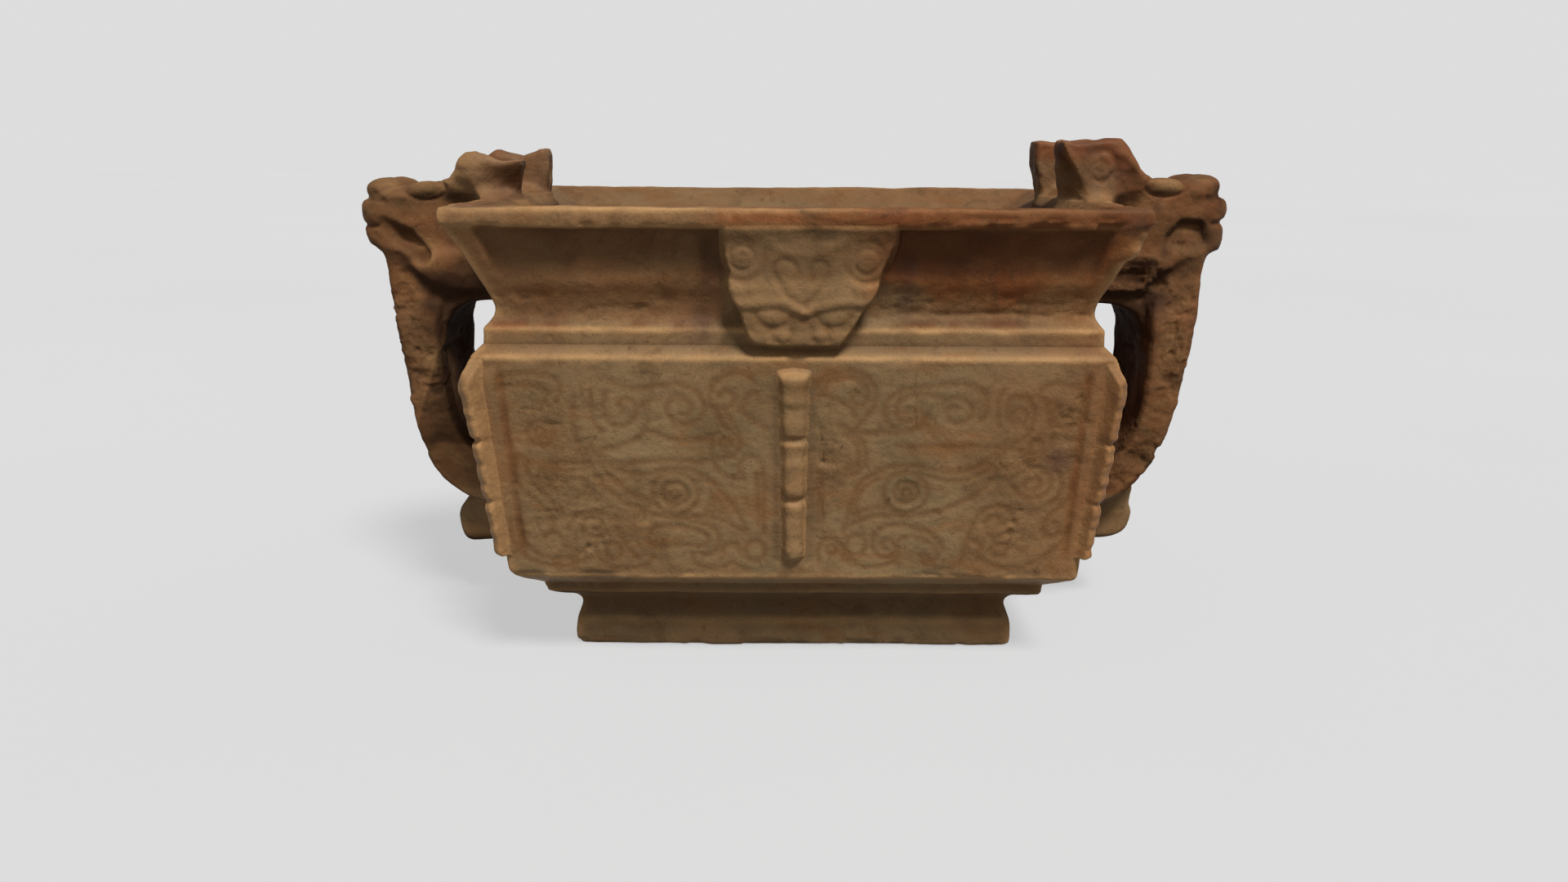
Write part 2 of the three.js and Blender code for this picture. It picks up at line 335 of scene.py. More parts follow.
RIGHT_LINES = [
    [(1001, 474), (1004, 466), (1012, 460), (1025, 456), (1040, 455), (1054, 457), (1064, 464), (1070, 474), (1072, 486), (1069, 498), (1062, 509), (1055, 518), (1049, 525)],
    [(1008, 478), (1012, 469), (1022, 463), (1036, 461), (1049, 465), (1058, 472), (1062, 482), (1060, 492), (1053, 497), (1046, 494), (1043, 487), (1046, 481), (1052, 482)],
    [(1003, 484), (1014, 485), (1026, 490), (1036, 497), (1043, 503), (1046, 511)],
    [(1029, 522), (1041, 526), (1051, 535), (1058, 547), (1060, 559), (1058, 569), (1052, 577), (1043, 582), (1034, 583)],
    [(1034, 531), (1043, 536), (1049, 545), (1052, 556), (1051, 566), (1045, 573), (1037, 575)],
    [(1003, 575), (1003, 600), (1003, 640)],
    [(1008, 582), (1008, 605), (1008, 638)],
    [(1033, 652), (1037, 636), (1041, 621), (1046, 606), (1053, 593), (1064, 584), (1078, 576), (1093, 571), (1110, 570), (1128, 571), (1145, 575), (1162, 578), (1180, 577), (1196, 572), (1210, 563), (1220, 553), (1228, 546)],
    [(1133, 581), (1148, 585), (1163, 588), (1180, 587), (1196, 582), (1209, 574), (1219, 563), (1226, 552)],
    [(1047, 616), (1054, 603), (1063, 594), (1075, 587)],
    [(1036, 646), (1047, 640), (1060, 635), (1075, 632), (1090, 631), (1104, 632), (1118, 632), (1132, 629), (1147, 626), (1163, 621), (1178, 614), (1192, 607), (1204, 598), (1213, 588), (1220, 576), (1225, 562), (1229, 548)],
    [(1046, 630), (1059, 625), (1073, 622), (1084, 621)],
    [(1056, 531), (1075, 530), (1092, 529), (1108, 529), (1122, 525), (1130, 518), (1134, 509)],
    [(1100, 546), (1120, 547), (1140, 546), (1165, 547), (1190, 546), (1210, 547), (1228, 546), (1244, 549), (1262, 553)],
    [(1172, 470), (1158, 472), (1143, 474), (1128, 475), (1113, 477), (1100, 481), (1090, 488), (1084, 497), (1082, 507), (1085, 516), (1092, 522), (1102, 526), (1113, 526), (1123, 522), (1129, 515), (1130, 507), (1127, 499)],
    [(1155, 487), (1142, 484), (1128, 483), (1115, 485), (1104, 490), (1098, 499), (1098, 508), (1104, 515), (1112, 517), (1119, 513), (1121, 506), (1117, 501), (1111, 502)],
    [(1155, 491), (1166, 487), (1178, 488), (1188, 495), (1190, 505), (1184, 514), (1173, 518), (1163, 514), (1160, 505), (1165, 498), (1173, 499)],
    [(1180, 470), (1195, 474), (1206, 482), (1210, 494), (1207, 506), (1200, 514)],
    [(1223, 522), (1222, 505), (1223, 488), (1228, 478)],
    [(1233, 512), (1233, 498), (1236, 487), (1246, 483), (1257, 485), (1264, 494), (1266, 507), (1264, 519), (1259, 530), (1250, 538), (1238, 542)],
    [(1242, 519), (1238, 511), (1241, 503), (1249, 500), (1256, 504), (1257, 512), (1251, 518), (1246, 514)],
    [(1276, 475), (1287, 470), (1300, 469), (1314, 472), (1322, 480), (1324, 492), (1322, 505)],
    [(1276, 475), (1272, 483), (1277, 489), (1286, 491), (1294, 493)],
    [(1323, 505), (1318, 516), (1308, 523), (1297, 522), (1290, 514), (1289, 504), (1295, 497), (1304, 497), (1309, 503), (1305, 510), (1299, 509)],
    [(1283, 495), (1283, 505), (1286, 516), (1290, 528), (1288, 540), (1281, 550), (1271, 555), (1262, 551), (1261, 543), (1268, 538), (1275, 541)],
    [(1262, 560), (1278, 560), (1292, 562), (1303, 569), (1310, 581), (1312, 595), (1308, 608), (1300, 618), (1290, 626), (1282, 634), (1277, 643), (1279, 653), (1287, 657), (1295, 652), (1297, 644), (1291, 639)],
    [(1256, 574), (1267, 571), (1278, 575), (1286, 584), (1286, 595), (1279, 604), (1266, 608), (1253, 606), (1243, 599), (1237, 590)],
    [(1270, 583), (1274, 591), (1269, 598), (1260, 599), (1254, 593), (1257, 586), (1264, 586)],
    [(1291, 572), (1298, 583), (1300, 595), (1296, 606), (1287, 614)],
    [(1196, 680), (1206, 686), (1219, 691), (1234, 695), (1249, 694), (1264, 688), (1279, 680), (1292, 670), (1303, 658), (1310, 645), (1313, 632)],
    [(1183, 668), (1187, 654), (1192, 641), (1200, 629), (1211, 622), (1224, 620), (1236, 625), (1242, 635), (1240, 646), (1231, 654), (1219, 656), (1210, 651), (1207, 642), (1212, 634), (1221, 633), (1226, 639), (1222, 645)],
    [(1155, 672), (1150, 662), (1140, 654), (1126, 648), (1110, 644), (1095, 643), (1081, 646), (1072, 653), (1068, 663), (1070, 673), (1077, 681), (1087, 683), (1096, 678), (1098, 669), (1092, 662), (1083, 663), (1080, 669), (1085, 673)],
    [(1034, 683), (1041, 689), (1052, 693), (1066, 695), (1080, 694), (1092, 689), (1100, 681), (1103, 671)],
    [(1004, 690), (1002, 678), (1004, 668), (1011, 662), (1021, 661), (1030, 666), (1034, 675), (1032, 685)],
    [(1043, 686), (1037, 676), (1036, 667), (1041, 659), (1050, 656), (1058, 660), (1060, 669), (1057, 678)],
    [(1127, 679), (1131, 687), (1139, 693), (1150, 696), (1162, 696), (1172, 691), (1178, 683), (1180, 673)],
    [(1103, 660), (1115, 656), (1128, 659), (1140, 666), (1148, 675), (1146, 684), (1138, 684), (1132, 678)],
]
RIGHT_CIRCLES = [(1109, 603, 27), (1109, 603, 14), (1109, 603, 5.5), (1192, 669, 9), (1223, 672, 9), (1018, 673, 6)]
LEFT_LINES = [
    [(869, 490), (870, 478), (876, 468), (887, 461), (901, 458), (914, 460), (923, 468)],
    [(879, 486), (887, 479), (896, 483), (899, 491), (894, 498), (884, 500), (872, 498)],
    [(878, 500), (881, 512), (888, 523), (897, 531), (904, 538), (907, 547)],
    [(888, 500), (892, 512), (899, 522), (905, 531)],
    [(911, 498), (912, 490), (918, 484), (927, 483)],
    [(905, 500), (912, 508), (920, 514), (928, 520), (937, 526)],
    [(907, 545), (903, 554), (895, 557), (886, 553), (882, 545), (886, 537), (893, 538), (895, 545), (890, 548)],
    [(872, 541), (871, 553), (874, 566), (879, 577), (889, 584), (901, 586), (912, 587)],
    [(907, 580), (905, 570), (911, 562), (921, 560), (930, 566), (934, 577), (935, 610), (935, 655)],
    [(926, 582), (928, 608), (929, 642)],
    [(746, 468), (771, 477), (795, 475), (820, 471), (840, 474), (855, 483), (862, 496), (860, 508), (850, 517), (836, 519), (823, 514), (816, 503), (820, 492), (830, 487), (840, 490), (846, 499), (842, 507), (833, 508)],
    [(740, 483), (737, 498), (741, 512), (752, 521), (766, 521), (776, 513), (779, 502), (775, 492), (765, 489), (758, 496), (761, 505)],
    [(785, 497), (797, 491), (808, 489)],
    [(733, 552), (748, 549), (765, 544), (779, 538), (790, 528), (800, 530), (815, 536), (832, 540), (850, 540), (868, 536), (880, 531)],
    [(655, 566), (690, 568), (725, 568), (760, 569), (797, 566), (820, 565), (850, 567), (880, 563), (900, 560)],
    [(724, 548), (731, 559), (743, 569), (758, 577), (776, 581), (796, 581), (813, 577), (829, 575), (846, 577), (861, 583), (873, 592), (884, 604), (894, 616), (903, 627), (910, 640), (914, 650)],
    [(716, 552), (722, 570), (731, 586), (743, 599), (757, 610), (772, 620), (790, 628), (810, 633), (830, 635), (850, 634), (868, 634), (885, 638), (900, 645), (913, 651)],
    [(733, 562), (740, 576), (752, 589), (766, 600), (780, 609), (793, 614)],
    [(868, 662), (861, 669), (845, 668), (825, 668), (808, 671), (797, 667), (793, 659), (798, 650), (812, 645), (832, 646), (852, 649), (864, 655), (868, 662)],
    [(852, 640), (866, 643), (877, 651), (881, 663), (877, 675), (866, 680), (855, 677)],
    [(731, 662), (731, 676), (736, 688), (747, 696), (763, 698), (780, 697), (793, 692), (801, 683)],
    [(849, 678), (851, 688), (860, 695), (873, 697), (887, 695), (898, 690), (906, 694), (920, 699)],
    [(884, 677), (887, 669), (893, 667), (901, 668), (906, 675)],
    [(606, 478), (609, 466), (625, 461), (650, 459), (672, 462), (683, 470), (684, 484), (680, 496)],
    [(612, 475), (640, 474), (662, 476), (668, 486), (665, 497)],
    [(634, 562), (632, 580), (638, 597), (650, 610), (664, 622), (675, 636), (677, 650), (668, 659)],
    [(646, 566), (646, 582), (653, 594), (665, 605), (677, 617), (687, 630)],
    [(636, 640), (640, 660), (652, 675), (670, 684), (690, 686), (707, 682), (720, 672)],
    [(625, 640), (629, 664), (643, 682), (664, 692), (690, 694), (712, 690), (727, 682)],
    [(697, 648), (703, 637), (716, 630), (732, 629), (746, 635), (756, 648), (763, 662), (771, 675), (780, 684)],
    [(742, 653), (733, 659), (721, 657), (714, 648), (719, 638), (731, 637), (738, 644), (733, 650), (726, 647)],
    [(702, 490), (700, 510), (702, 528), (707, 545), (713, 560), (718, 575)],
    [(723, 480), (722, 500), (727, 520), (738, 530)],
]
LEFT_CIRCLES = [(827, 606, 28), (827, 606, 15), (827, 606, 6), (661, 532, 16), (661, 532, 7), (675, 586, 15), (675, 586, 7), (752, 676, 10), (925, 675, 12)]


def belly_lines():
    out = []
    for pts in RIGHT_LINES + LEFT_LINES:
        out.append(np.array([on_belly(*p) for p in curve(pts)]))
    for cx, cy, r in RIGHT_CIRCLES + LEFT_CIRCLES:
        x, z = on_belly(cx, cy)
        rr = r * (abs(on_belly(cx + 10, cy)[0] - x) / 10)
        out.append(circle(x, z, rr))
    return out


def distance_to(lines, u, v, reach=2.2):
    """Distance from each (u, v) to the nearest of the lines, up to reach."""
    best = np.full(len(u), reach)
    for ln in lines:
        lo, hi = ln.min(0) - reach, ln.max(0) + reach
        idx = np.nonzero((u > lo[0]) & (u < hi[0]) & (v > lo[1]) & (v < hi[1]))[0]
        if not len(idx):
            continue
        pu, pv = u[idx], v[idx]
        b = best[idx]
        for k in range(len(ln) - 1):
            a, c = ln[k], ln[k + 1]
            d = c - a
            L = d @ d + 1e-12
            t = np.clip(((pu - a[0]) * d[0] + (pv - a[1]) * d[1]) / L, 0, 1)
            b = np.minimum(b, np.hypot(pu - a[0] - t * d[0], pv - a[1] - t * d[1]))
        best[idx] = b
    return best


def line_profile(d, depth=0.10, width=0.58):
    """A shallow groove with softly swelling banks."""
    return -depth * np.exp(-(d / width) ** 2) + 0.05 * np.exp(-((d - 1.35) / 0.7) ** 2)


# =====================================================================================
# relief of the vessel's panels
# =====================================================================================
BELLY = [ln for ln in belly_lines()]
# the short sides: a tall scroll and an eye on each side of the strap, drawn as |Y|, Z
SIDE = [curve(p) for p in (
    [(15.5, 52), (19, 56.4), (25, 57.5), (30.5, 55), (33.2, 49.5), (31.6, 44), (27, 41.6), (22.6, 44), (22.2, 48.6), (25.4, 51.4), (28.6, 49.8), (28.4, 46.8)],
    [(15.2, 46), (16.4, 40.5), (20.4, 37.6), (25.6, 37.8), (30.2, 37), (33, 33.4), (33.4, 28.4), (30.6, 24.8), (26.2, 24.2), (22.8, 27), (23, 31), (26.2, 32.8), (29, 30.6), (27.8, 28)],
    [(15, 33), (17.4, 29.6), (18.2, 25.2), (15.6, 22.6)],
    [(14.6, 36.4), (18.6, 34), (21, 30.4), (21.4, 26)],
    [(17.6, 52.8), (20.6, 50.6), (20.6, 46.2), (18, 43.4)],
)]
FLANGE_Z = (23.3, 58.9)
EYES = [(1109, 603, 27), (827, 606, 28)]


def panel_relief(P, face):
    """Carving on the four walls of the belly. Returns the height and how deep in a groove each point is."""
    h = np.zeros(len(P))
    g = np.zeros(len(P))
    wob = 0.35 * fbm(P, 7.0, 2, 61)
    wob2 = 0.35 * fbm(P, 7.0, 2, 67)
    soft = 0.78 + 0.35 * fbm(P, 11.0, 2, 53)          # the cutting is deeper here, shallower there
    zone = smooth(19.6, 21.0, P[:, 2]) * (1 - smooth(59.6, 60.8, P[:, 2]))
    for f, sign in ((0, 1.0), (2, -1.0)):
        m = np.nonzero((face == f) & (zone > 0))[0]
        if not len(m):
            continue
        u = P[m, 0] * sign + 0.25 * wob[m] + (0.0 if f == 0 else 0.6 * vnoise(P[m], 16.0, 83))
        v = P[m, 2] + 0.25 * wob2[m]
        d = distance_to(BELLY, u, v)
        keep = smooth(2.6, 3.5, np.abs(P[m, 0])) * (1 - smooth(54.2, 55.6, np.abs(P[m, 0]))) * zone[m]
        h[m] += line_profile(d) * soft[m] * keep
        for cx, cy, rp in EYES:
            ex, ez = on_belly(cx, cy)
            k = abs(on_belly(cx + 10, cy)[0] - ex) / 10
            r = np.hypot(u - ex, v - ez) / k
            h[m] += (0.13 * np.exp(-(r / (0.40 * rp)) ** 4) + 0.12 * np.exp(-((r - 0.78 * rp) / (0.22 * rp)) ** 2) - 0.06 * np.exp(-((r - 0.54 * rp) / (0.14 * rp)) ** 2)) * keep
        g[m] = np.exp(-(d / 0.62) ** 2) * keep
    for f in (1, 3):
        m = np.nonzero((face == f) & (zone > 0))[0]
        if not len(m):
            continue
        u = np.abs(P[m, 1]) + 0.3 * wob[m]
        d = distance_to(SIDE, u, P[m, 2] + 0.3 * wob2[m])
        keep = smooth(12.6, 13.6, np.abs(P[m, 1])) * (1 - smooth(34.6, 35.8, np.abs(P[m, 1]))) * zone[m]
        h[m] += line_profile(d) * soft[m] * keep
        g[m] = np.exp(-(d / 0.62) ** 2) * keep
    # the ground swells gently up to the flanges
    for x0 in (0.0,):
        m = (face == 0) | (face == 2)
        q = np.abs(P[:, 0] - x0)
        h += np.where(m, 0.22 * np.exp(-((q - 2.6) / 0.9) ** 2) * smooth(22, 24, P[:, 2]) * (1 - smooth(58.4, 59.6, P[:, 2])), 0.0)
    z = P[:, 2]
    lim = 3.0 + (BELLY_TOP - z) * TAPER
    q = np.where((face == 0) | (face == 2), RIM_W / 2 - lim - np.abs(P[:, 0]), RIM_D / 2 - lim - np.abs(P[:, 1]))
    qc = 3.3 + 0.036 * (z - 24)
    up = (face < 4) * smooth(22, 25, z) * smooth(60.4, 57, z)
    h += up * (0.26 * smooth(qc + 0.1, qc - 0.9, q) - 0.22 * np.exp(-((q - qc - 0.25) / 0.6) ** 2))
    # the lower edge is chipped, and the upper one uneven
    h -= 0.50 * np.exp(-((z - 19.0) / 1.0) ** 2) * smooth(-0.05, 0.5, fbm(P * np.array([0.6, 1, 1.2]), 4.4, 3, 511))
    h += 0.10 * np.exp(-((z - 61.3) / 0.5) ** 2)
    h -= 0.34 * np.exp(-((z - 61.4) / 0.8) ** 2) * smooth(-0.05, 0.5, fbm(P * np.array([0.7, 1, 1]), 4.6, 4, 517))
    return h, g


def finish_sweep(name, path, layout, relief, slot, nodes, inner_from=None, cap=None):
    """Builds one sweep, presses the carving into it, and closes it."""
    P, N, F, quads, n, m = sweep(path, layout)
    on_out = np.repeat(path[:, 3] > 0.5, n) if path.shape[1] > 3 else np.ones(len(P), bool)
    h = np.zeros(len(P))
    g = np.zeros(len(P))
    out = np.nonzero(on_out)[0]
    h[out] = carve_noise(P[out])
    inn = np.nonzero(~on_out)[0]
    if len(inn):
        h[inn] = 0.14 * fbm(P[inn], 15.0, 2, 4) + 0.05 * fbm(P[inn], 3.0, 2, 8)
    if relief is not None:
        rh, rg = relief(P[out], F[out])
        h[out] += rh
        g[out] = rg
    V = P + N * h[:, None]
    faces = quads.tolist()
    first, last = list(range(n)), list(range((m - 1) * n, m * n))
    vs = V
    if cap:
        # close both ends, each with one n-gon
        faces.append(first[::-1] if cap[0] else [])
        faces.append(last if cap[1] else [])
        faces = [f for f in faces if f]
    sx = np.tile(np.arange(n) / n, m)
    sy = np.repeat(np.arange(m) / (m - 1), n)

    def uv(me, lv):
        # u wraps at the last column, so that column's far corners take 1
        u = sx[lv].copy()
        per = 4
        q = len(quads) * per
        uu = u[:q].reshape(-1, 4)
        wrap = (uu.max(1) - uu.min(1)) > 0.5
        uu[wrap] = np.where(uu[wrap] < 0.5, 1.0, uu[wrap])
        out_uv = np.zeros((len(lv), 2))
        out_uv[:q, 0] = uu.ravel() * 0.96 + 0.02
        out_uv[:q, 1] = sy[lv[:q]] * 0.90 + 0.08
        if len(lv) > q:
            p = vs[lv[q:]]
            out_uv[q:, 0] = 0.02 + (p[:, 0] / 140 + 0.5) * 0.08
            out_uv[q:, 1] = 0.005 + (p[:, 1] / 100 + 0.5) * 0.055
        return out_uv

    return V, faces, g, F, on_out, uv


# =====================================================================================
# the jade
# =====================================================================================
def srgb(r, g, b):
    def lin(c):
        c = c / 255.0
        return c / 12.92 if c <= 0.04045 else ((c + 0.055) / 1.055) ** 2.4
    return (lin(r), lin(g), lin(b), 1.0)


def tones(P, g, N=None):
    """Colour masks at each point, all 0 to 1: the warm tone, darker tones with painted shade, and stains with painted
    shade.
    """
    x, y, z = P[:, 0], P[:, 1], P[:, 2]
    n1 = fbm(P, 26.0, 3, 101)
    n2 = fbm(P, 9.0, 3, 107)
    # the front, fading in gradually round the corners and over the rim
    fs, fs2 = smooth(-22.0, -33.0, y), smooth(-28.0, -34.0, y)
    # olive in the middle of the bowl; redder to the right, on the heads, high up and near every arris
    warm = 0.22 + 0.22 * smooth(14, 62, x + 12 * n1) + 0.20 * smooth(46, 60, np.abs(x)) + 0.25 * n1 + 0.18 * n2
    warm = warm + 0.25 * smooth(60, 66, z) * smooth(87, 74, z) * smooth(10, 50, x)
    warm = warm + 0.40 * smooth(60.5, 62.0, np.abs(x)) * smooth(26, 29, z) - 0.20 * smooth(60.5, 62.0, np.abs(x)) * smooth(29, 26, z)
    # redder along the right of the front, under the lip and on it
    warm = warm + 0.45 * smooth(4, 26, x) * smooth(67, 70, z) * smooth(61.5, 60.0, np.abs(x)) * fs * (0.8 + 0.5 * n2)
    warm = warm + 0.38 * smooth(66.8, 68.5, z) * smooth(84.6, 83.4, z) * smooth(14.0, 16.5, np.abs(x - 2.5)) * (1 - smooth(4, 26, x)) * (0.9 + 0.4 * n2) + 0.14 * smooth(84.0, 85.0, z) * (np.abs(y) > 30) + 0.50 * smooth(-26, 2, x) * smooth(84.0, 85.0, z) * fs2 * smooth(61.5, 60.0, np.abs(x))
    # beside the ribs
    lim_ = 3.0 + (BELLY_TOP - z) * TAPER
    qx = RIM_W / 2 - lim_ - np.abs(x)
    rib = np.exp(-((qx - 3.5 - 0.036 * (z - 24)) / 0.85) ** 2) * smooth(22, 25, z) * smooth(60.6, 57, z) * (np.abs(y) > 30)
    warm = np.clip(warm + 0.5 * rib + 0.25 * smooth(3.5, 1.5, qx) * smooth(22, 25, z) * smooth(60.6, 57, z) * (np.abs(x) < 61), 0, 1)
    # painted shade low down, under the belly's overhang: on the plate, most on the foot's neck and less on the ring
    # below it
    shade_and_dark_tone = 0.50 * smooth(16.5, 15.0, z) * smooth(12.0, 13.0, z) + 0.62 * smooth(13.6, 12.8, z) * smooth(5.6, 6.8, z + 0.5 * n2) + 0.40 * smooth(6.8, 5.6, z + 0.5 * n2)
    run_ = RIM_W / 2 - outer_inset(z) - np.abs(x) - 0.2 * np.clip(z - 73, 0, 12) + 0.5 * n2
    # painted shadow of the lip: a band across the upper cavetto, short of the corners
    lip_shadow_band = smooth(74.4, 77.2, z + 0.9 * n2) * smooth(84.4, 83.6, z) * smooth(2.0, 3.6, run_)
    shade_and_dark_tone = shade_and_dark_tone + 0.56 * lip_shadow_band * fs * (0.85 + 0.3 * n2)
    # painted shade in the recess above the shoulder's arris, and faintly up the cavetto
    shade_and_dark_tone = shade_and_dark_tone + 0.25 * smooth(66.4, 67.0, z) * smooth(70.6, 68.6, z + 0.5 * n2) * smooth(61, 59, np.abs(x)) * (0.8 + 0.5 * n2)
    shade_and_dark_tone = shade_and_dark_tone + 0.10 * smooth(66.8, 69.0, z) * smooth(74.5, 72.0, z) * smooth(58, 56, np.abs(x))
    # painted shade in the crease between shoulder and belly, on the ground beside the middle rib, and beside the
    # corner ribs
    shade_and_dark_tone = shade_and_dark_tone + 0.30 * np.exp(-((z - 63.6) / 0.5) ** 2) * (np.abs(x) < 58)
    shade_and_dark_tone = shade_and_dark_tone + 0.34 * np.exp(-((np.abs(x) - 3.1) / 1.1) ** 2) * smooth(22, 24, z) * smooth(60.5, 57, z) * (np.abs(y) > 30)
    shade_and_dark_tone = shade_and_dark_tone + 0.30 * rib * (0.8 + 0.5 * n2)
    # to the right end of the front the painted shadow under the lip deepens, and the lip itself is darker; the heads
    # are darker all over
    shade_and_dark_tone = shade_and_dark_tone + 0.26 * lip_shadow_band * fs * smooth(0, 24, x) + 0.20 * smooth(18, 44, x) * smooth(83.6, 84.6, z) * smooth(61.5, 60.0, np.abs(x)) * fs
    n4 = fbm(P * np.array([0.7, 1, 1.15]), 4.6, 4, 113)
    heads = smooth(60.0, 62.5, np.abs(x) + 0.9 * np.clip(z - 87.2, 0, 8)) * smooth(24, 30, z)
    shade_and_dark_tone = shade_and_dark_tone + heads * np.clip(0.36 + 0.08 * smooth(66, 70, z) + 0.38 * n4 + 0.16 * n2, 0, 0.7) * (1 - 1.0 * smooth(87.6, 90.0, z) * smooth(70, 66, np.abs(x)) * smooth(20, -20, x) - 0.85 * smooth(87.6, 90.0, z) * smooth(70, 66, np.abs(x)) * smooth(-20, 20, x))
    warm = np.clip(warm - 0.10 * heads - 0.5 * blob(P, (-62.5, -11, 92), (8, 8, 7)), 0, 1)
    shade_and_dark_tone = shade_and_dark_tone + 0.03 * heads * smooth(66, 70, np.abs(x)) * smooth(85, 87, z) * (x < 0)
    # rust where it is warmest: under the lip to the right, along the lip, on the ears' crests (this goes beyond 1)
    rust = 0.50 * smooth(4, 24, x) * smooth(70, 76, z + 1.5 * n2) * smooth(84.4, 83.6, z) * smooth(1.0, 2.6, run_) * fs
    rust = rust + 0.34 * smooth(-30, 0, x) * smooth(84.0, 84.6, z) * (z < 87.2) * smooth(61.5, 60.0, np.abs(x)) * fs2
    rust = rust + 0.30 * smooth(92.0, 97.0, z + 2.0 * n1) * (x > 0) + 0.25 * heads * smooth(0.0, 0.5, n1) * (x > 0)
    rust = rust + 0.30 * np.exp(-((z - 67.0) / 1.0) ** 2) * smooth(14, 22, np.abs(x)) * fs2 * smooth(-0.2, 0.4, n2)
    rust = np.clip(rust * (0.75 + 0.7 * n2), 0, 0.7)
    warm = np.where(rust > 0.02, warm + (1 - warm) * smooth(0.0, 0.25, rust) + rust, warm)
    # painted shade under the left jowl, where it curves under
    shade_and_dark_tone = shade_and_dark_tone + 0.60 * (x < 0) * smooth(77.0, 73.0, z + 0.25 * (np.abs(x) - 66)) * smooth(60, 62, np.abs(x)) * smooth(77, 74, np.abs(x) - 0.5 * (z - 72)) * smooth(62, 67.5, z)
    # broken stone under the right mouth
    shade_and_dark_tone = shade_and_dark_tone + 0.15 * (x > 0) * np.exp(-(((x - 67.4) / 6.4) ** 2 + ((z - 71.8) / 4.6) ** 2) ** 1.4) * smooth(57, 60, x) * smooth(-0.25, 0.35, n4)
    # painted shade on the web at the top of the hand hole
    shade_and_dark_tone = shade_and_dark_tone + 0.55 * smooth(59.5, 61, np.abs(x)) * smooth(72.4, 70.8, np.abs(x) + 0.25 * (z - 66)) * smooth(60, 62, z) * smooth(70.4, 69.0, z) * smooth(10.2, 9.3, np.abs(y))
    # painted shadow of the bowl's rim on the left strap: inwards of a slanting line it is dark
    rim_shadow_edge = np.interp(z, [36, 40, 45.5, 54.0, 62.0, 63.5], [78.5, 77.8, 76.0, 72.8, 69.8, 69.0])
    shade_and_dark_tone = shade_and_dark_tone + 0.40 * (x < 0) * smooth(rim_shadow_edge + 0.25, rim_shadow_edge - 0.35, np.abs(x)) * smooth(62.6, 61.6, z) * smooth(37.2, 38.4, z + 0.6 * n2) * smooth(60, 62, np.abs(x)) * (y < -6)
    # painted shade inside the handles: on faces turned inwards, under the heads and on every face turned down
    if N is not None:
        inward = -N[:, 0] * np.sign(x)
        shade_and_dark_tone = shade_and_dark_tone + (0.30 + 0.22 * smooth(-5.0, -1.0, y + 1.5 * n2)) * smooth(0.15, 0.65, inward) * smooth(57.5, 60.5, np.abs(x)) * smooth(79, 77, np.abs(x)) * smooth(30, 36, z) * smooth(75, 72, z)
        shade_and_dark_tone = shade_and_dark_tone + 0.55 * smooth(-0.3, -0.7, N[:, 2]) * smooth(57.5, 60.5, np.abs(x)) * smooth(60, 64, z) * smooth(74, 71, z)
        shade_and_dark_tone = shade_and_dark_tone + 0.35 * smooth(0.1, -0.6, N[:, 2]) * smooth(57, 60, np.abs(x))
    # mottled painted shade under the jaws, on the inner part of the straps' tops
    shade_and_dark_tone = shade_and_dark_tone + 0.42 * smooth(-0.2, 0.5, n2) * smooth(77.5, 72.5, np.abs(x)) * smooth(70.5, 68.0, z) * smooth(52, 62, z) * smooth(61.5, 63, np.abs(x))
    shade_and_dark_tone = shade_and_dark_tone + 0.20 * smooth(42, 34, z) * smooth(27.0, 28.5, z) * smooth(61.5, 63.5, np.abs(x)) + 0.18 * smooth(28.0, 26.0, z) * smooth(61.5, 63.5, np.abs(x))
    # painted shade in the well of the bowl
    well = np.maximum(np.abs(x) - RIM_W / 2, np.abs(y) - RIM_D / 2) + outer_inset(np.minimum(z, 85.0))
    shade_and_dark_tone = shade_and_dark_tone + 0.34 * smooth(-3.2, -5.0, well) * (z > 20) * (z < 87.3)
    shade_and_dark_tone = shade_and_dark_tone + (0.16 + 0.06 * (x > 0)) * smooth(61.4, 62.6, z) * smooth(66.2, 65.4, z) * smooth(61, 59, np.abs(x))
    shade_and_dark_tone = shade_and_dark_tone + 0.15 * smooth(-16, 24, x) * smooth(84.0, 85.0, z) * smooth(61.5, 60.0, np.abs(x)) * fs
    # painted shadow of the mask on the wall to its left
    shade_and_dark_tone = shade_and_dark_tone + 0.30 * np.exp(-((x + 15.6 - 0.12 * (z - 76)) / 1.7) ** 2) * smooth(66, 69, z) * smooth(84.2, 83.2, z) * fs2 * (0.9 + 0.5 * n2)
    # the worn band above the shoulder is paler to the right of the mask
    shade_and_dark_tone = shade_and_dark_tone * (1 - 0.55 * smooth(14, 20, x) * smooth(58.5, 56.0, x) * smooth(67.4, 68.6, z) * smooth(74.6, 73.0, z + 0.6 * n2) * fs)
    shade_and_dark_tone = np.clip(shade_and_dark_tone, 0, 1)
    # painted shadow beside the mask's left edge; the blobs after it are stains
    stain_and_shade = blob(P, (-16.5, -37, 67), (4, 6, 4.5)) * 0.9 + blob(P, (-14.5, -37, 76), (2.5, 6, 7)) * 0.5
    for c, r in (((58, -40, 85), (5, 5, 3)), ((-50, -12, 92), (6, 8, 6)), ((50, -12, 90), (6, 8, 5)), ((48, -38, 43), (4, 5, 4)), ((-57, 12, 96), (7, 6, 5)),
                 ((-66, -8, 62), (6, 10, 9)), ((70, -12, 67), (7, 6, 6))):
        stain_and_shade = np.maximum(stain_and_shade, blob(P, c, r) * 0.8)
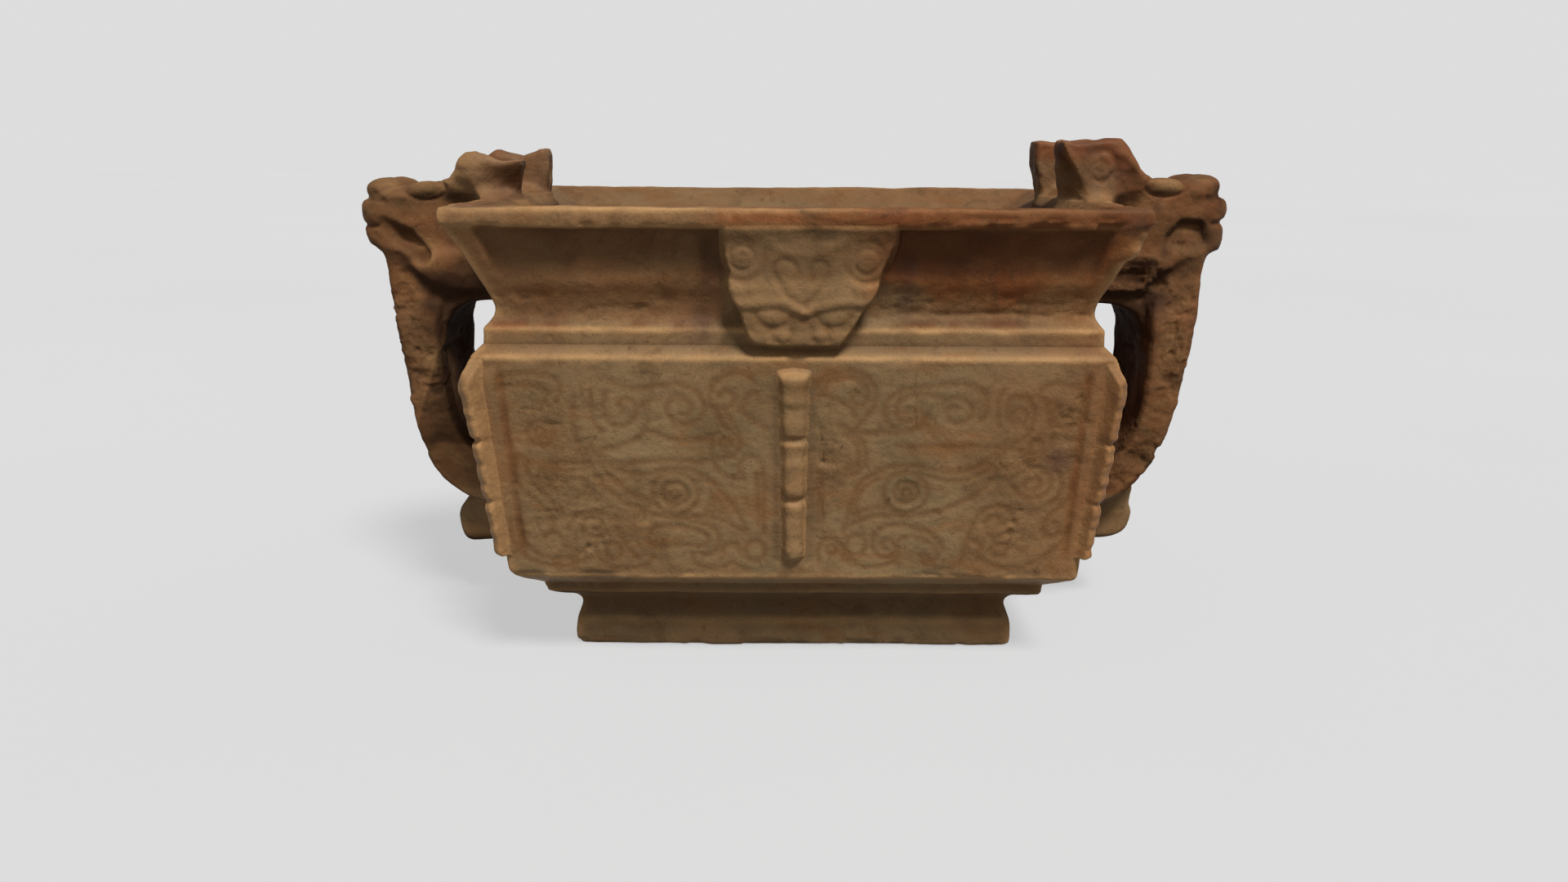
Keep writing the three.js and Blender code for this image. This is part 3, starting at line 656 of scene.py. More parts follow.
    # painted shade in the hollows of the carving, darkest in mouths, ears' inner ends and jaws
    ax_ = np.abs(x)
    for sgn, pts, w, up in (
        (-1, [(79.9, 11, 81.9), (76.4, 10.6, 79.3), (72.8, 10.4, 75.8)], 1.7, 0.62),
        (-1, [(78.0, 11.4, 75.8), (76.4, 11.2, 72.2), (71.0, 11.4, 68.0)], 1.1, 0.45),
        (-1, [(56.0, 12.0, 92.8), (54.4, 11.6, 92.2)], 1.2, 0.22),
                (-1, [(85.0, 3, 87.1), (83.0, 8.0, 87.0), (80.0, 9.9, 86.7)], 0.8, 0.40),
        (1, [(72.8, 11, 77.8), (73.4, 10.8, 80.8), (76.2, 10.4, 83.3), (79.8, 10.2, 82.9), (81.0, 10, 80.2)], 1.2, 0.62),
        (1, [(66.4, 11, 67.2), (72.0, 11.4, 71.2), (77.2, 11.5, 75.4)], 1.3, 0.60),
        (1, [(50.8, 10.5, 96.0), (51.6, 11.8, 93.0), (52.2, 12.4, 90.4)], 1.9, 0.62),
        (1, [(83.6, 6.0, 90.0), (83.0, 8.2, 89.6)], 1.5, 0.50),
        (1, [(85.6, 3, 88.4), (83.0, 8.0, 88.2), (80.4, 9.9, 88.0)], 0.8, 0.40),
        (1, [(70.0, 10.8, 88.8), (73.6, 10.9, 88.6)], 0.6, 0.35), (-1, [(70.0, 10.8, 87.5), (74.0, 10.8, 87.2)], 0.6, 0.35),
    ):
        m = np.nonzero((x * sgn > 45) & (z > 62))[0]
        if len(m):
            Q = np.column_stack([ax_[m], np.abs(y[m]), z[m]])
            shade_and_dark_tone[m] = np.clip(shade_and_dark_tone[m] + up * along(Q, pts, w) * (0.75 + 0.4 * n2[m]), 0, 1)
    # crowns are stained purple-brown, and the rim beside the heads carries their painted shade
    crown = smooth(88.0, 92.0, z + 1.5 * n2) * (0.06 + 0.26 * (x > 0)) + smooth(86.6, 87.4, z) * smooth(47, 53, ax_) * smooth(70, 60, ax_) * 0.55
    stain_and_shade = np.maximum(stain_and_shade, crown * (0.6 + 0.8 * n1))
    # painted shade: streaks along the rim's inner slopes where the ears' shadows fall, a purple bloom beside the
    # mask's right side and in the recess above the shoulder, and under the jaws on faces turned down
    st_ = np.exp(-((ax_ - 50.4 - 0.5 * n1) / 0.7) ** 2) * 0.8 + np.exp(-((ax_ - 46.9 - 0.5 * n1) / 0.8) ** 2) * 0.6
    stain_and_shade = np.maximum(stain_and_shade, st_ * smooth(84.0, 85.4, z) * smooth(36, 32, np.abs(y)) * (ax_ < 54))
    stain_and_shade = np.maximum(stain_and_shade, 0.75 * np.exp(-((x - 19.6) / 1.7) ** 2) * smooth(82, 78, z) * smooth(66, 69, z) * fs2)
    stain_and_shade = np.maximum(stain_and_shade, 0.55 * np.exp(-((z - 67.6) / 0.9) ** 2) * smooth(16, 20, ax_) * smooth(58, 54, ax_) * fs2 * smooth(-0.3, 0.3, n2))
    if N is not None:
        stain_and_shade = np.maximum(stain_and_shade, 0.9 * smooth(0.1, -0.6, N[:, 2]) * smooth(60, 63, ax_) * smooth(58, 62, z) * smooth(78, 74, z))
    stain_and_shade = np.clip(stain_and_shade * (0.5 + 0.7 * (0.5 + 0.5 * n2)), 0, 1)
    return warm, shade_and_dark_tone, stain_and_shade


VEINS = [  # hairlines and healed cracks: points of the frame on the plane Y given, and width
    (-41.9, 0.35, [(980, 259), (1006, 268), (1040, 272), (1070, 268), (1092, 258)]),
    (-41.9, 0.16, [(1093, 258), (1092, 270), (1094, 284)]),
    (-39.0, 0.14, [(1123, 452), (1122, 480), (1124, 510), (1122, 530)]),
    (-39.0, 0.22, [(1003, 520), (1009, 560), (1005, 600), (1010, 650)]),
    (-39.0, 0.14, [(722, 450), (760, 458), (815, 455), (850, 462)]),
]


def veins(P):
    out = np.zeros(len(P))
    for Y, w, pts in VEINS:
        m = np.nonzero(np.abs(P[:, 1] - Y) < 4.5)[0]
        if not len(m):
            continue
        ln = np.array([on_plane(px, py, Y) for px, py in curve(pts)])
        d = distance_to([ln], P[m, 0] + 0.25 * vnoise(P[m], 2.0, 3), P[m, 2], 1.5)
        out[m] = np.maximum(out[m], np.exp(-(d / w) ** 2))
    return out


class Graph:
    """Short hand for building a node tree."""

    def __init__(self, mat):
        mat.use_nodes = True
        self.t = mat.node_tree
        self.t.nodes.clear()

    def new(self, kind, **props):
        n = self.t.nodes.new(kind)
        for k, v in props.items():
            setattr(n, k, v)
        return n

    def put(self, n, socket, v):
        s = n.inputs[socket]
        if hasattr(v, "is_output") or isinstance(v, bpy.types.NodeSocket):
            self.t.links.new(v, s)
        else:
            s.default_value = v

    def noise(self, vec, scale, detail=4.0, rough=0.55, dist=0.0):
        n = self.new("ShaderNodeTexNoise")
        self.put(n, "Vector", vec); self.put(n, "Scale", scale); self.put(n, "Detail", detail)
        self.put(n, "Roughness", rough); self.put(n, "Distortion", dist)
        return n.outputs["Fac"]

    def attr(self, name):
        n = self.new("ShaderNodeAttribute", attribute_name=name)
        return n.outputs["Fac"]

    def math(self, op, a, b=0.0, c=None, clamp=False):
        n = self.new("ShaderNodeMath", operation=op, use_clamp=clamp)
        self.put(n, 0, a); self.put(n, 1, b)
        if c is not None:
            self.put(n, 2, c)
        return n.outputs[0]

    def span(self, v, a, b, c=0.0, d=1.0):
        n = self.new("ShaderNodeMapRange", clamp=True, interpolation_type="SMOOTHSTEP")
        for k, x in zip(("Value", "From Min", "From Max", "To Min", "To Max"), (v, a, b, c, d)):
            self.put(n, k, x)
        return n.outputs["Result"]

    def mix(self, fac, a, b, how="MIX"):
        n = self.new("ShaderNodeMix", data_type="RGBA", blend_type=how, clamp_factor=True)
        self.t.links.new(fac, n.inputs[0]) if isinstance(fac, bpy.types.NodeSocket) else setattr(n.inputs[0], "default_value", fac)
        for i, v in ((6, a), (7, b)):
            if isinstance(v, bpy.types.NodeSocket):
                self.t.links.new(v, n.inputs[i])
            else:
                n.inputs[i].default_value = v
        return n.outputs[2]

    def ramp(self, fac, stops):
        n = self.new("ShaderNodeValToRGB")
        self.put(n, "Fac", fac)
        e = n.color_ramp.elements
        while len(e) < len(stops):
            e.new(0.5)
        for k, (p, c) in enumerate(stops):
            e[k].position, e[k].color = p, c
        return n.outputs["Color"]


def jade(name, own_masks=True, gain=1.0):
    """Mottled brown-green jade. Members with own_masks carry the masks as point attributes."""
    mat = bpy.data.materials.new(name)
    G = Graph(mat)
    co = G.new("ShaderNodeTexCoord").outputs["Object"]
    big = G.noise(co, 42.0, 5.0, 0.58, 0.6)
    mid = G.noise(co, 150.0, 6.0, 0.62, 0.35)
    fine = G.noise(co, 900.0, 4.0, 0.6)
    grit = G.noise(co, 2600.0, 3.0, 0.6)
    base = G.ramp(big, [(0.30, srgb(120, 102, 71)), (0.46, srgb(136, 113, 80)), (0.58, srgb(144, 117, 82)), (0.72, srgb(124, 97, 66))])
    warm_c = G.ramp(mid, [(0.30, srgb(106, 62, 33)), (0.5, srgb(134, 83, 47)), (0.68, srgb(146, 98, 58))])
    if own_masks:
        warm, shade_and_dark_tone, stain_and_shade, groove, worn, vein, edge = (G.attr(k) for k in ("warm", "shade_and_dark_tone", "stain_and_shade", "groove", "worn", "vein", "edge"))
    else:
        warm = G.span(big, 0.35, 0.65, 0.3, 0.8)
        shade_and_dark_tone = G.span(mid, 0.5, 0.8, 0.0, 0.3)
        stain_and_shade = G.span(mid, 0.7, 0.8, 0.0, 0.3)
        groove = G.span(fine, 0.7, 0.8, 0.0, 0.2)
        worn = G.span(fine, 0.6, 0.8, 0.0, 0.3)
        vein = G.span(big, 0.8, 0.9, 0.0, 0.2)
        edge = G.span(fine, 0.6, 0.8, 0.0, 0.3)
    c = G.mix(G.math("MULTIPLY_ADD", warm, 0.95, 0.0, True), base, warm_c)
    c = G.mix(G.math("SUBTRACT", warm, 1.0, None, True), c, srgb(122, 58, 27))
    # cloudy mottling and small flecks
    cloud = G.span(G.noise(co, 95.0, 7.0, 0.68, 1.2), 0.50, 0.68, 0.0, 0.50)
    c = G.mix(cloud, c, srgb(92, 70, 44))
    wide = G.new("ShaderNodeMapping")
    G.put(wide, "Vector", co)
    wide.inputs["Scale"].default_value = (0.35, 0.6, 1.0)
    streak = G.span(G.noise(wide.outputs[0], 190.0, 6.0, 0.66, 0.8), 0.50, 0.66, 0.0, 0.45)
    c = G.mix(streak, c, srgb(132, 84, 44))
    fleck = G.span(G.noise(co, 420.0, 6.0, 0.72, 0.4), 0.58, 0.70, 0.0, 0.6)
    c = G.mix(fleck, c, srgb(84, 58, 38))
    pale = G.span(G.noise(co, 310.0, 7.0, 0.72, 0.5), 0.56, 0.74, 0.0, 0.45)
    c = G.mix(pale, c, srgb(164, 126, 84))
    # arrises are polished paler and carry painted highlights, a little more orange
    c = G.mix(G.math("MULTIPLY", edge, G.span(mid, 0.3, 0.7, 0.45, 0.95)), c, srgb(184, 142, 94))
    # grooves hold a darker, redder residue; on the carved members this mix also paints shade into creases
    c = G.mix(G.math("MULTIPLY", groove, 0.47), c, srgb(108, 70, 38))
    worn_c = G.ramp(fine, [(0.35, srgb(86, 62, 38)), (0.5, srgb(118, 90, 58)), (0.66, srgb(140, 110, 74))])
    c = G.mix(G.math("MULTIPLY", worn, G.span(mid, 0.40, 0.62, 0.10, 0.55)), c, worn_c)
    # purple-brown for stains and painted shade, then the darker tones and painted shade
    c = G.mix(G.math("MULTIPLY", stain_and_shade, G.span(mid, 0.35, 0.6, 0.3, 0.85)), c, srgb(74, 48, 46))
    c = G.mix(G.math("MULTIPLY", shade_and_dark_tone, 0.85), c, srgb(46, 30, 20))
    c = G.mix(G.math("MULTIPLY", vein, G.span(mid, 0.35, 0.6, 0.12, 0.5)), c, srgb(62, 38, 24))
    c = G.mix(0.5, c, G.ramp(grit, [(0.30, (0.62, 0.62, 0.62, 1)), (0.5, (1, 1, 1, 1)), (0.72, (1.0, 1.0, 1.0, 1))]), "MULTIPLY")
    bsdf = G.new("ShaderNodeBsdfPrincipled")
    G.put(bsdf, "Base Color", c)
    r = G.math("ADD", G.span(mid, 0.3, 0.7, 0.44, 0.58), G.math("MULTIPLY", worn, 0.22))
    r = G.math("ADD", r, G.math("MULTIPLY", groove, 0.12))
    r = G.math("ADD", r, G.math("MULTIPLY", shade_and_dark_tone, 0.34), None, True)
    G.put(bsdf, "Roughness", r)
    bsdf.inputs["Specular IOR Level"].default_value = 0.11
    bsdf.inputs["Specular Tint"].default_value = (1.0, 0.92, 0.84, 1.0)
    b1 = G.new("ShaderNodeBump")
    b1.inputs["Strength"].default_value = 0.9
    b1.inputs["Distance"].default_value = 0.00032
    G.put(b1, "Height", G.noise(co, 520.0, 6.0, 0.62))
    b2 = G.new("ShaderNodeBump")
    b2.inputs["Distance"].default_value = 0.00012
    G.put(b2, "Strength", G.math("MULTIPLY_ADD", worn, 0.7, 0.22, True))
    G.put(b2, "Height", grit)
    G.t.links.new(b1.outputs["Normal"], b2.inputs["Normal"])
    G.t.links.new(b2.outputs["Normal"], bsdf.inputs["Normal"])
    out = G.new("ShaderNodeOutputMaterial")
    G.t.links.new(bsdf.outputs["BSDF"], out.inputs["Surface"])
    return mat


MAT = {k: jade(k) for k in ("jade_belly", "jade_neck", "jade_foot", "jade_head", "jade_strap", "jade_mask", "jade_flange")}


def arrises(P):
    """The vessel's own edges, polished paler by handling and painted with highlights: 1 on the edge."""
    z = P[:, 2]
    d = np.minimum(np.abs(P[:, 0]) - RIM_W / 2, 99) + outer_inset(z)
    e = np.abs(P[:, 1]) - RIM_D / 2 + outer_inset(z)
    skin_d = np.maximum(d, e)
    up = np.abs(d - e)
    out = np.exp(-(up / 1.4) ** 2) * (skin_d > -2)
    for zz, w in ((87.3, 0.7), (84.5, 0.55), (61.6, 0.6), (66.15, 0.6), (18.9, 0.6), (13.5, 0.6), (5.4, 0.8)):
        out = np.maximum(out, np.exp(-((z - zz) / w) ** 2) * (skin_d > -1.6) * (0.85 if 60 < zz < 68 else 0.9))
    out = out * (1.0 + 0.5 * fbm(P, 6.0, 2, 91)) * (skin_d < 1.6)
    out = out * (1 - 0.8 * smooth(-24, 20, P[:, 0]) * (z > 83.8) * (P[:, 1] < -20))
    # painted highlights on the beasts' eyes and noses
    ax_, ay_ = np.abs(P[:, 0]), np.abs(P[:, 1])
    dz = np.where(P[:, 0] < 0, -1.3, 0.0)
    for c, r, k in (((71.7, 10.4, 90.3), (3.9, 3.2, 1.9), 1.0), ((80.5, 6.0, 91.8), (4.4, 6.5, 1.8), 0.42), ((84.2, 7.5, 85.6), (2.4, 4.5, 2.2), 0.15)):
        q = ((ax_ - c[0]) / r[0]) ** 2 + ((ay_ - c[1]) / r[1]) ** 2 + ((P[:, 2] - c[2] - dz) / r[2]) ** 2
        out = np.maximum(out, k * np.clip(1.25 - q, 0, 1))
    # painted light: the left ear is painted pale, as if lit, but for its inner end
    out = np.maximum(out, 1.1 * blob(P, (-62.0, -12, 92.2), (9.0, 8, 8)))
    return out


def masks(P, g, N=None):
    warm, shade_and_dark_tone, stain_and_shade = tones(P, g, N)
    return {"warm": warm, "shade_and_dark_tone": shade_and_dark_tone, "stain_and_shade": stain_and_shade, "groove": np.clip(g, 0, 1), "worn": rough_places(P), "vein": veins(P), "edge": np.clip(arrises(P), 0, 1)}


# =====================================================================================
# body, neck and foot
# =====================================================================================
def path_of(points, step, rad, corner, outer):
    """points of one stretch of section -> rows of inset, z, corner radius, is-outside."""
    p = section_path(points, step, rad)
    return np.column_stack([p, np.full(len(p), corner), np.full(len(p), 1.0 if outer else 0.0)])


def join(*paths):
    out = [paths[0]]
    for p in paths[1:]:
        out.append(p[1:] if np.allclose(p[0, :2], out[-1][-1, :2], atol=1e-6) else p)
    out = np.vstack(out)
    # the corner radius changes gradually, so that rings don't twist
    for k in (2,):
        s = out[:, k].copy()
        for _ in range(3):
            s[1:-1] = (s[:-2] + 2 * s[1:-1] + s[2:]) / 4
        out[:, k] = s
    return out


DENSE = 1.0


def cols(n):
    return max(6, int(n * DENSE))


def body_piece():
    st = 0.41 / DENSE
    outer = path_of([(13.2, 14.4), (6.35, 18.7), (3.0, 61.5), (6.2, 64.6)], lambda p: st if 18.2 < p[1] < 62.0 else st * 1.4, [0, 0.6, 0.8, 0], 0.9, True)
    under = path_of([(30, 14.3), (13.4, 14.3)], 3.0, 0, 0.9, False)
    lid = path_of([(6.5, 64.6), (13.6, 64.6)], 2.4, 0, 1.6, False)
    inner = path_of([(14.06, 64.4), (14.06, 63.4), (15.0, 23.5), (16.5, 22), (26, 22)], 3.4 / DENSE, [0, 0.3, 0, 0.6, 0], 2.5, False)
    path = join(under, outer, lid, inner)
    layout = ring_layout(cols(314), cols(72), cols(132), 5)
    V, faces, g, F, on_out, uv = finish_sweep("bowl_body", path, layout, panel_relief, "jade_belly", ["bowl_body"], cap=(True, True))
    return to_object("bowl_body_carved", V, faces, ["bowl_body"], MAT["jade_belly"], masks(V, g), uv)


def neck_relief(P, face):
    h = np.zeros(len(P))
    g = np.zeros(len(P))
    # under the lip each wall is scooped out, but for a band left along the corners, behind the
    # masks and where the heads grow out of it
    x, y, z = P[:, 0], P[:, 1], P[:, 2]
    i = outer_inset(z)
    run = np.where((face == 0) | (face == 2), RIM_W / 2 - i - np.abs(x), RIM_D / 2 - i - np.abs(y))
    bend = 0.5 * vnoise(P, 9.0, 221)
    fb = (face == 0) | (face == 2)
    clear = np.where(fb, smooth(12.4, 14.6, np.abs(x * np.where(face == 2, -1, 1) - 2.5)), smooth(12.6, 16.5, np.abs(y))) * (face < 4)
    scoop = smooth(2.2, 3.9, run + 0.7 * bend - 0.2 * np.clip(z - 73, 0, 12)) * clear
    step_z = 84.0 + 0.28 * vnoise(P, 6.0, 227)
    h -= 1.25 * scoop * smooth(step_z + 0.2, step_z - 0.55, z) * smooth(73.8, 79.6, z + 0.8 * bend)
    # painted shade in the crease under the lip's step
    g = np.maximum(g, 0.7 * np.exp(-((z - 83.5) / 0.6) ** 2) * scoop)
    # the lip is chewed along its lower edge, most of all to the right of the front
    f = face == 0
    q = smooth(22, 34, x) * (1 - smooth(57, 60, x)) * f
    edge = np.exp(-((z - 84.5) / 0.9) ** 2) * np.where(fb, clear, 1.0)
    c = fbm(P * np.array([0.75, 1, 1.2]), 3.6, 4, 203)
    h -= 1.0 * q * edge * smooth(-0.15, 0.40, c)
    h -= 0.30 * q * np.exp(-((z - 85.9) / 0.5) ** 2) * smooth(-0.1, 0.3, fbm(P * np.array([0.6, 1, 1.0]), 2.6, 3, 205))
    q2 = smooth(-57, -50, x) * (1 - smooth(-30, -14, x)) * f
    h -= 0.42 * q2 * edge * smooth(0.0, 0.5, fbm(P, 4.6, 3, 207))
    h -= 0.28 * edge * smooth(0.05, 0.6, fbm(P, 6.0, 2, 211))
    h -= 0.28 * np.exp(-((z - 87.2) / 0.5) ** 2) * smooth(-0.05, 0.5, fbm(P * np.array([0.7, 1, 1]), 5.0, 4, 215))
    near_corner = smooth(4.2, 1.2, np.maximum(RIM_W / 2 - i - x, RIM_D / 2 - i - np.abs(y)))
    h += 0.85 * near_corner * smooth(77.9, 79.0, z + bend) * smooth(84.4, 82.2, z) * (y < 0) * (0.75 + 0.7 * vnoise(P, 2.6, 223))
    # broken bands along the waist
    where = f * smooth(14, 22, x) * (1 - smooth(51, 56, x))
    h -= 0.46 * np.exp(-((z - 68.9 - 0.5 * bend) / 0.6) ** 2) * where * smooth(-0.25, 0.30, fbm(P * np.array([0.32, 1, 1.3]), 3.0, 4, 213))
    h -= 0.20 * np.exp(-((z - 72.0) / 2.4) ** 2) * where * smooth(-0.05, 0.5, fbm(P * np.array([0.7, 1, 1.2]), 2.9, 4, 217))
    left = f * smooth(-54, -48, x) * (1 - smooth(-22, -16, x))
    h -= 0.30 * np.exp(-((z - 70.6) / 2.6) ** 2) * left * smooth(0.0, 0.5, fbm(P * np.array([0.7, 1, 1.2]), 3.2, 4, 219))
    # the shoulder under the waist is uneven along its arris
    h += 0.11 * np.exp(-((z - 66.2) / 0.45) ** 2)
    h -= 0.40 * np.exp(-((z - 66.4) / 0.7) ** 2) * smooth(-0.05, 0.5, fbm(P * np.array([0.7, 1, 1]), 4.2, 4, 229))
    return h, g


def neck_piece():
    st = 0.36 / DENSE
    outer = path_of([(5.9, 62.4), (5.05, 62.7), (5.2, 66.3), (7.1, 68.6), (6.5, 71.6), (4.63, 75.5), (2.76, 79.9), (0.75, 83.9), (0.0, 85.0), (0.15, 87.5), (4.4, 87.45)],
                    st, [0, 0.2, 0.7, 1.5, 1.6, 2, 2, 0.5, 0.5, 0.6, 0], 0.75, True)
    inner = path_of([(4.4, 87.45), (7.5, 85.6), (11.5, 83.2), (13.5, 80.0), (13.9, 72.0), (14.0, 63.4), (13.9, 62.6)], lambda p: 0.7 / DENSE if p[1] > 79 else 2.0 / DENSE, 1.2, 1.6, False)
    under = path_of([(13.2, 62.4), (6.2, 62.4)], 2.0, 0, 1.4, False)
    path = join(outer, inner, under)
    layout = ring_layout(cols(322), cols(76), cols(150), 5)
    V, faces, g, F, on_out, uv = finish_sweep("neck_rim", path, layout, neck_relief, "jade_neck", ["neck_rim"])
    n, m = len(layout[0]), len(path)
    faces += [[(m - 1) * n + i, (m - 1) * n + (i + 1) % n, (i + 1) % n, i] for i in range(n)]
    return to_object("neck_rim_carved", V, faces, ["neck_rim"], MAT["jade_neck"], masks(V, g))


def foot_relief(P, face):
    h = np.zeros(len(P))
    z = P[:, 2]
    low = smooth(5.5, 3.5, z)
    h -= 0.30 * low * smooth(0.1, 0.7, fbm(P, 8.0, 3, 303))
    h -= 0.55 * smooth(2.0, 0.6, z) * smooth(0.0, 0.5, fbm(P * np.array([0.6, 1, 1]), 4.0, 3, 307))
    h -= 0.45 * np.exp(-((z - 13.9) / 0.7) ** 2) * smooth(0.0, 0.45, fbm(P * np.array([0.6, 1, 1]), 4.2, 4, 311))
    h -= 0.25 * np.exp(-((z - 15.3) / 0.5) ** 2) * smooth(0.1, 0.5, fbm(P * np.array([0.6, 1, 1]), 4.2, 4, 313))
    # the groove mask at the foot's narrow waist is painted shade
    return h, np.exp(-((P[:, 2] - 9.0) / 1.3) ** 2) * 0.8


def foot_piece():
    st = 0.42 / DENSE
    under = path_of([(38, 8.0), (25, 8.0), (25, 0.15), (24.6, 0.0), (16.8, 0.0)], 1.6, [0, 0.6, 0.3, 0.2, 0], 1.6, False)
    outer = path_of([(16.8, 0.0), (16.1, 0.35), (15.95, 2.8), (16.3, 5.3), (17.6, 9.0), (16.2, 11.2), (11.6, 13.4), (11.4, 16.2), (12.2, 16.4)], st, [0, 0.4, 1.2, 0.7, 1.6, 1.4, 0.4, 0.2, 0], 1.0, True)
    lid = path_of([(12.6, 16.4), (32.0, 16.4)], 3.0, 0, 1.0, False)
    path = join(under, outer, lid)
    layout = ring_layout(cols(230), cols(80), cols(130), 5)
    V, faces, g, F, on_out, uv = finish_sweep("foot_ring", path, layout, foot_relief, "jade_foot", ["foot_ring"], cap=(True, True))
    return to_object("foot_ring_carved", V, faces, ["foot_ring"], MAT["jade_foot"], masks(V, g), uv)


body_piece()
neck_piece()
foot_piece()

# =====================================================================================
# shapes given by distance, for the handles, the mask and the flanges
# =====================================================================================
def poly(px, pz, pts):
    """Signed distance to a closed outline, negative inside."""
    pts = np.array(pts, float)
    shape = np.broadcast(px, pz).shape
    px, pz = np.broadcast_to(px, shape), np.broadcast_to(pz, shape)
    d = np.full(shape, 1e9)
    s = np.ones(shape)
    n = len(pts)
    for i in range(n):
        ax, az = pts[i]
        bx, bz = pts[i - 1]
        ex, ez = bx - ax, bz - az
        wx, wz = px - ax, pz - az
        t = np.clip((wx * ex + wz * ez) / (ex * ex + ez * ez + 1e-12), 0, 1)
        d = np.minimum(d, (wx - ex * t) ** 2 + (wz - ez * t) ** 2)
        c1, c2, c3 = pz >= az, pz < bz, ex * wz > ez * wx
        s = np.where((c1 & c2 & c3) | (~c1 & ~c2 & ~c3), -s, s)
    return s * np.sqrt(d)


def smin(a, b, k):
    h = np.maximum(k - np.abs(a - b), 0) / k
    return np.minimum(a, b) - h * h * k * 0.25


def smax(a, b, k):
    return -smin(-a, -b, k)


def slab(d2, dy, r):
    """An outline d2 given thickness dy, with rounded arrises of radius r."""
    a, b = d2 + r, dy + r
    return np.sqrt(np.maximum(a, 0) ** 2 + np.maximum(b, 0) ** 2) + np.minimum(np.maximum(a, b), 0) - r


def ball(X, Y, Z, c, r):
    """Roughly the distance to an ellipsoid."""
    r = np.array(r, float)
    q = np.sqrt(((X - c[0]) / r[0]) ** 2 + ((Y - c[1]) / r[1]) ** 2 + ((Z - c[2]) / r[2]) ** 2)
    g = np.sqrt(((X - c[0]) / r[0] ** 2) ** 2 + ((Y - c[1]) / r[1] ** 2) ** 2 + ((Z - c[2]) / r[2] ** 2) ** 2) + 1e-6
    return q * (q - 1.0) / g


def rod(X, Y, Z, a, b, r0, r1=None):
    """A tapering rod with round ends."""
    r1 = r0 if r1 is None else r1
    a, b = np.array(a, float), np.array(b, float)
    e = b - a
    t = np.clip(((X - a[0]) * e[0] + (Y - a[1]) * e[1] + (Z - a[2]) * e[2]) / (e @ e), 0, 1)
    return np.sqrt((X - a[0] - t * e[0]) ** 2 + (Y - a[1] - t * e[1]) ** 2 + (Z - a[2] - t * e[2]) ** 2) - (r0 + (r1 - r0) * t)


IN_SECTION = [(26.0, 22.0), (15.2, 22.1), (14.0, 63.6), (13.9, 72.0), (13.5, 80.0), (11.5, 83.2), (7.5, 85.6), (4.4, 87.5)]
_iz = np.array([p[1] for p in IN_SECTION])
_ii = np.array([p[0] for p in IN_SECTION])


def vessel(X, Y, Z):
    """Distance to the vessel itself, good near its walls."""
    e = 0.05
    slope = (outer_inset(Z + e) - outer_inset(Z - e)) / (2 * e)
    out = np.maximum(np.abs(X) - RIM_W / 2, np.abs(Y) - RIM_D / 2) + outer_inset(Z)
    out = out / np.sqrt(1 + slope ** 2)
    cav = np.maximum(np.abs(X) - RIM_W / 2, np.abs(Y) - RIM_D / 2) + np.interp(Z, _iz, _ii)
    islope = (np.interp(Z + e, _iz, _ii) - np.interp(Z - e, _iz, _ii)) / (2 * e)
    cav = cav / np.sqrt(1 + np.minimum(islope, 3.0) ** 2)
    cav = np.where(Z < 22, 9.0, cav)
    d = np.maximum(out, -cav)
    return np.maximum(np.maximum(d, Z - RIM_H), -Z)


def lattice(lo, hi, step):
    ax = [np.arange(lo[k], hi[k] + step, step) for k in range(3)]
    return ax, ax[0][:, None, None], ax[1][None, :, None], ax[2][None, None, :]


def tri(F, ax, step, P):
    """Value of the lattice F at points P."""
    q = [(P[:, k] - ax[k][0]) / step for k in range(3)]
    i = [np.clip(np.floor(v).astype(int), 0, F.shape[k] - 2) for k, v in enumerate(q)]
    f = [np.clip(q[k] - i[k], 0, 1) for k in range(3)]
    out = 0.0
    for a in (0, 1):
        for b in (0, 1):
            for c in (0, 1):
                w = (f[0] if a else 1 - f[0]) * (f[1] if b else 1 - f[1]) * (f[2] if c else 1 - f[2])
                out = out + w * F[i[0] + a, i[1] + b, i[2] + c]
    return out


def grad_at(F, ax, step, P, e=None):
    e = e or step * 0.75
    g = np.stack([tri(F, ax, step, P + d) - tri(F, ax, step, P - d) for d in (np.array([e, 0, 0]), np.array([0, e, 0]), np.array([0, 0, e]))], 1)
    return g / (np.linalg.norm(g, axis=1)[:, None] + 1e-9)


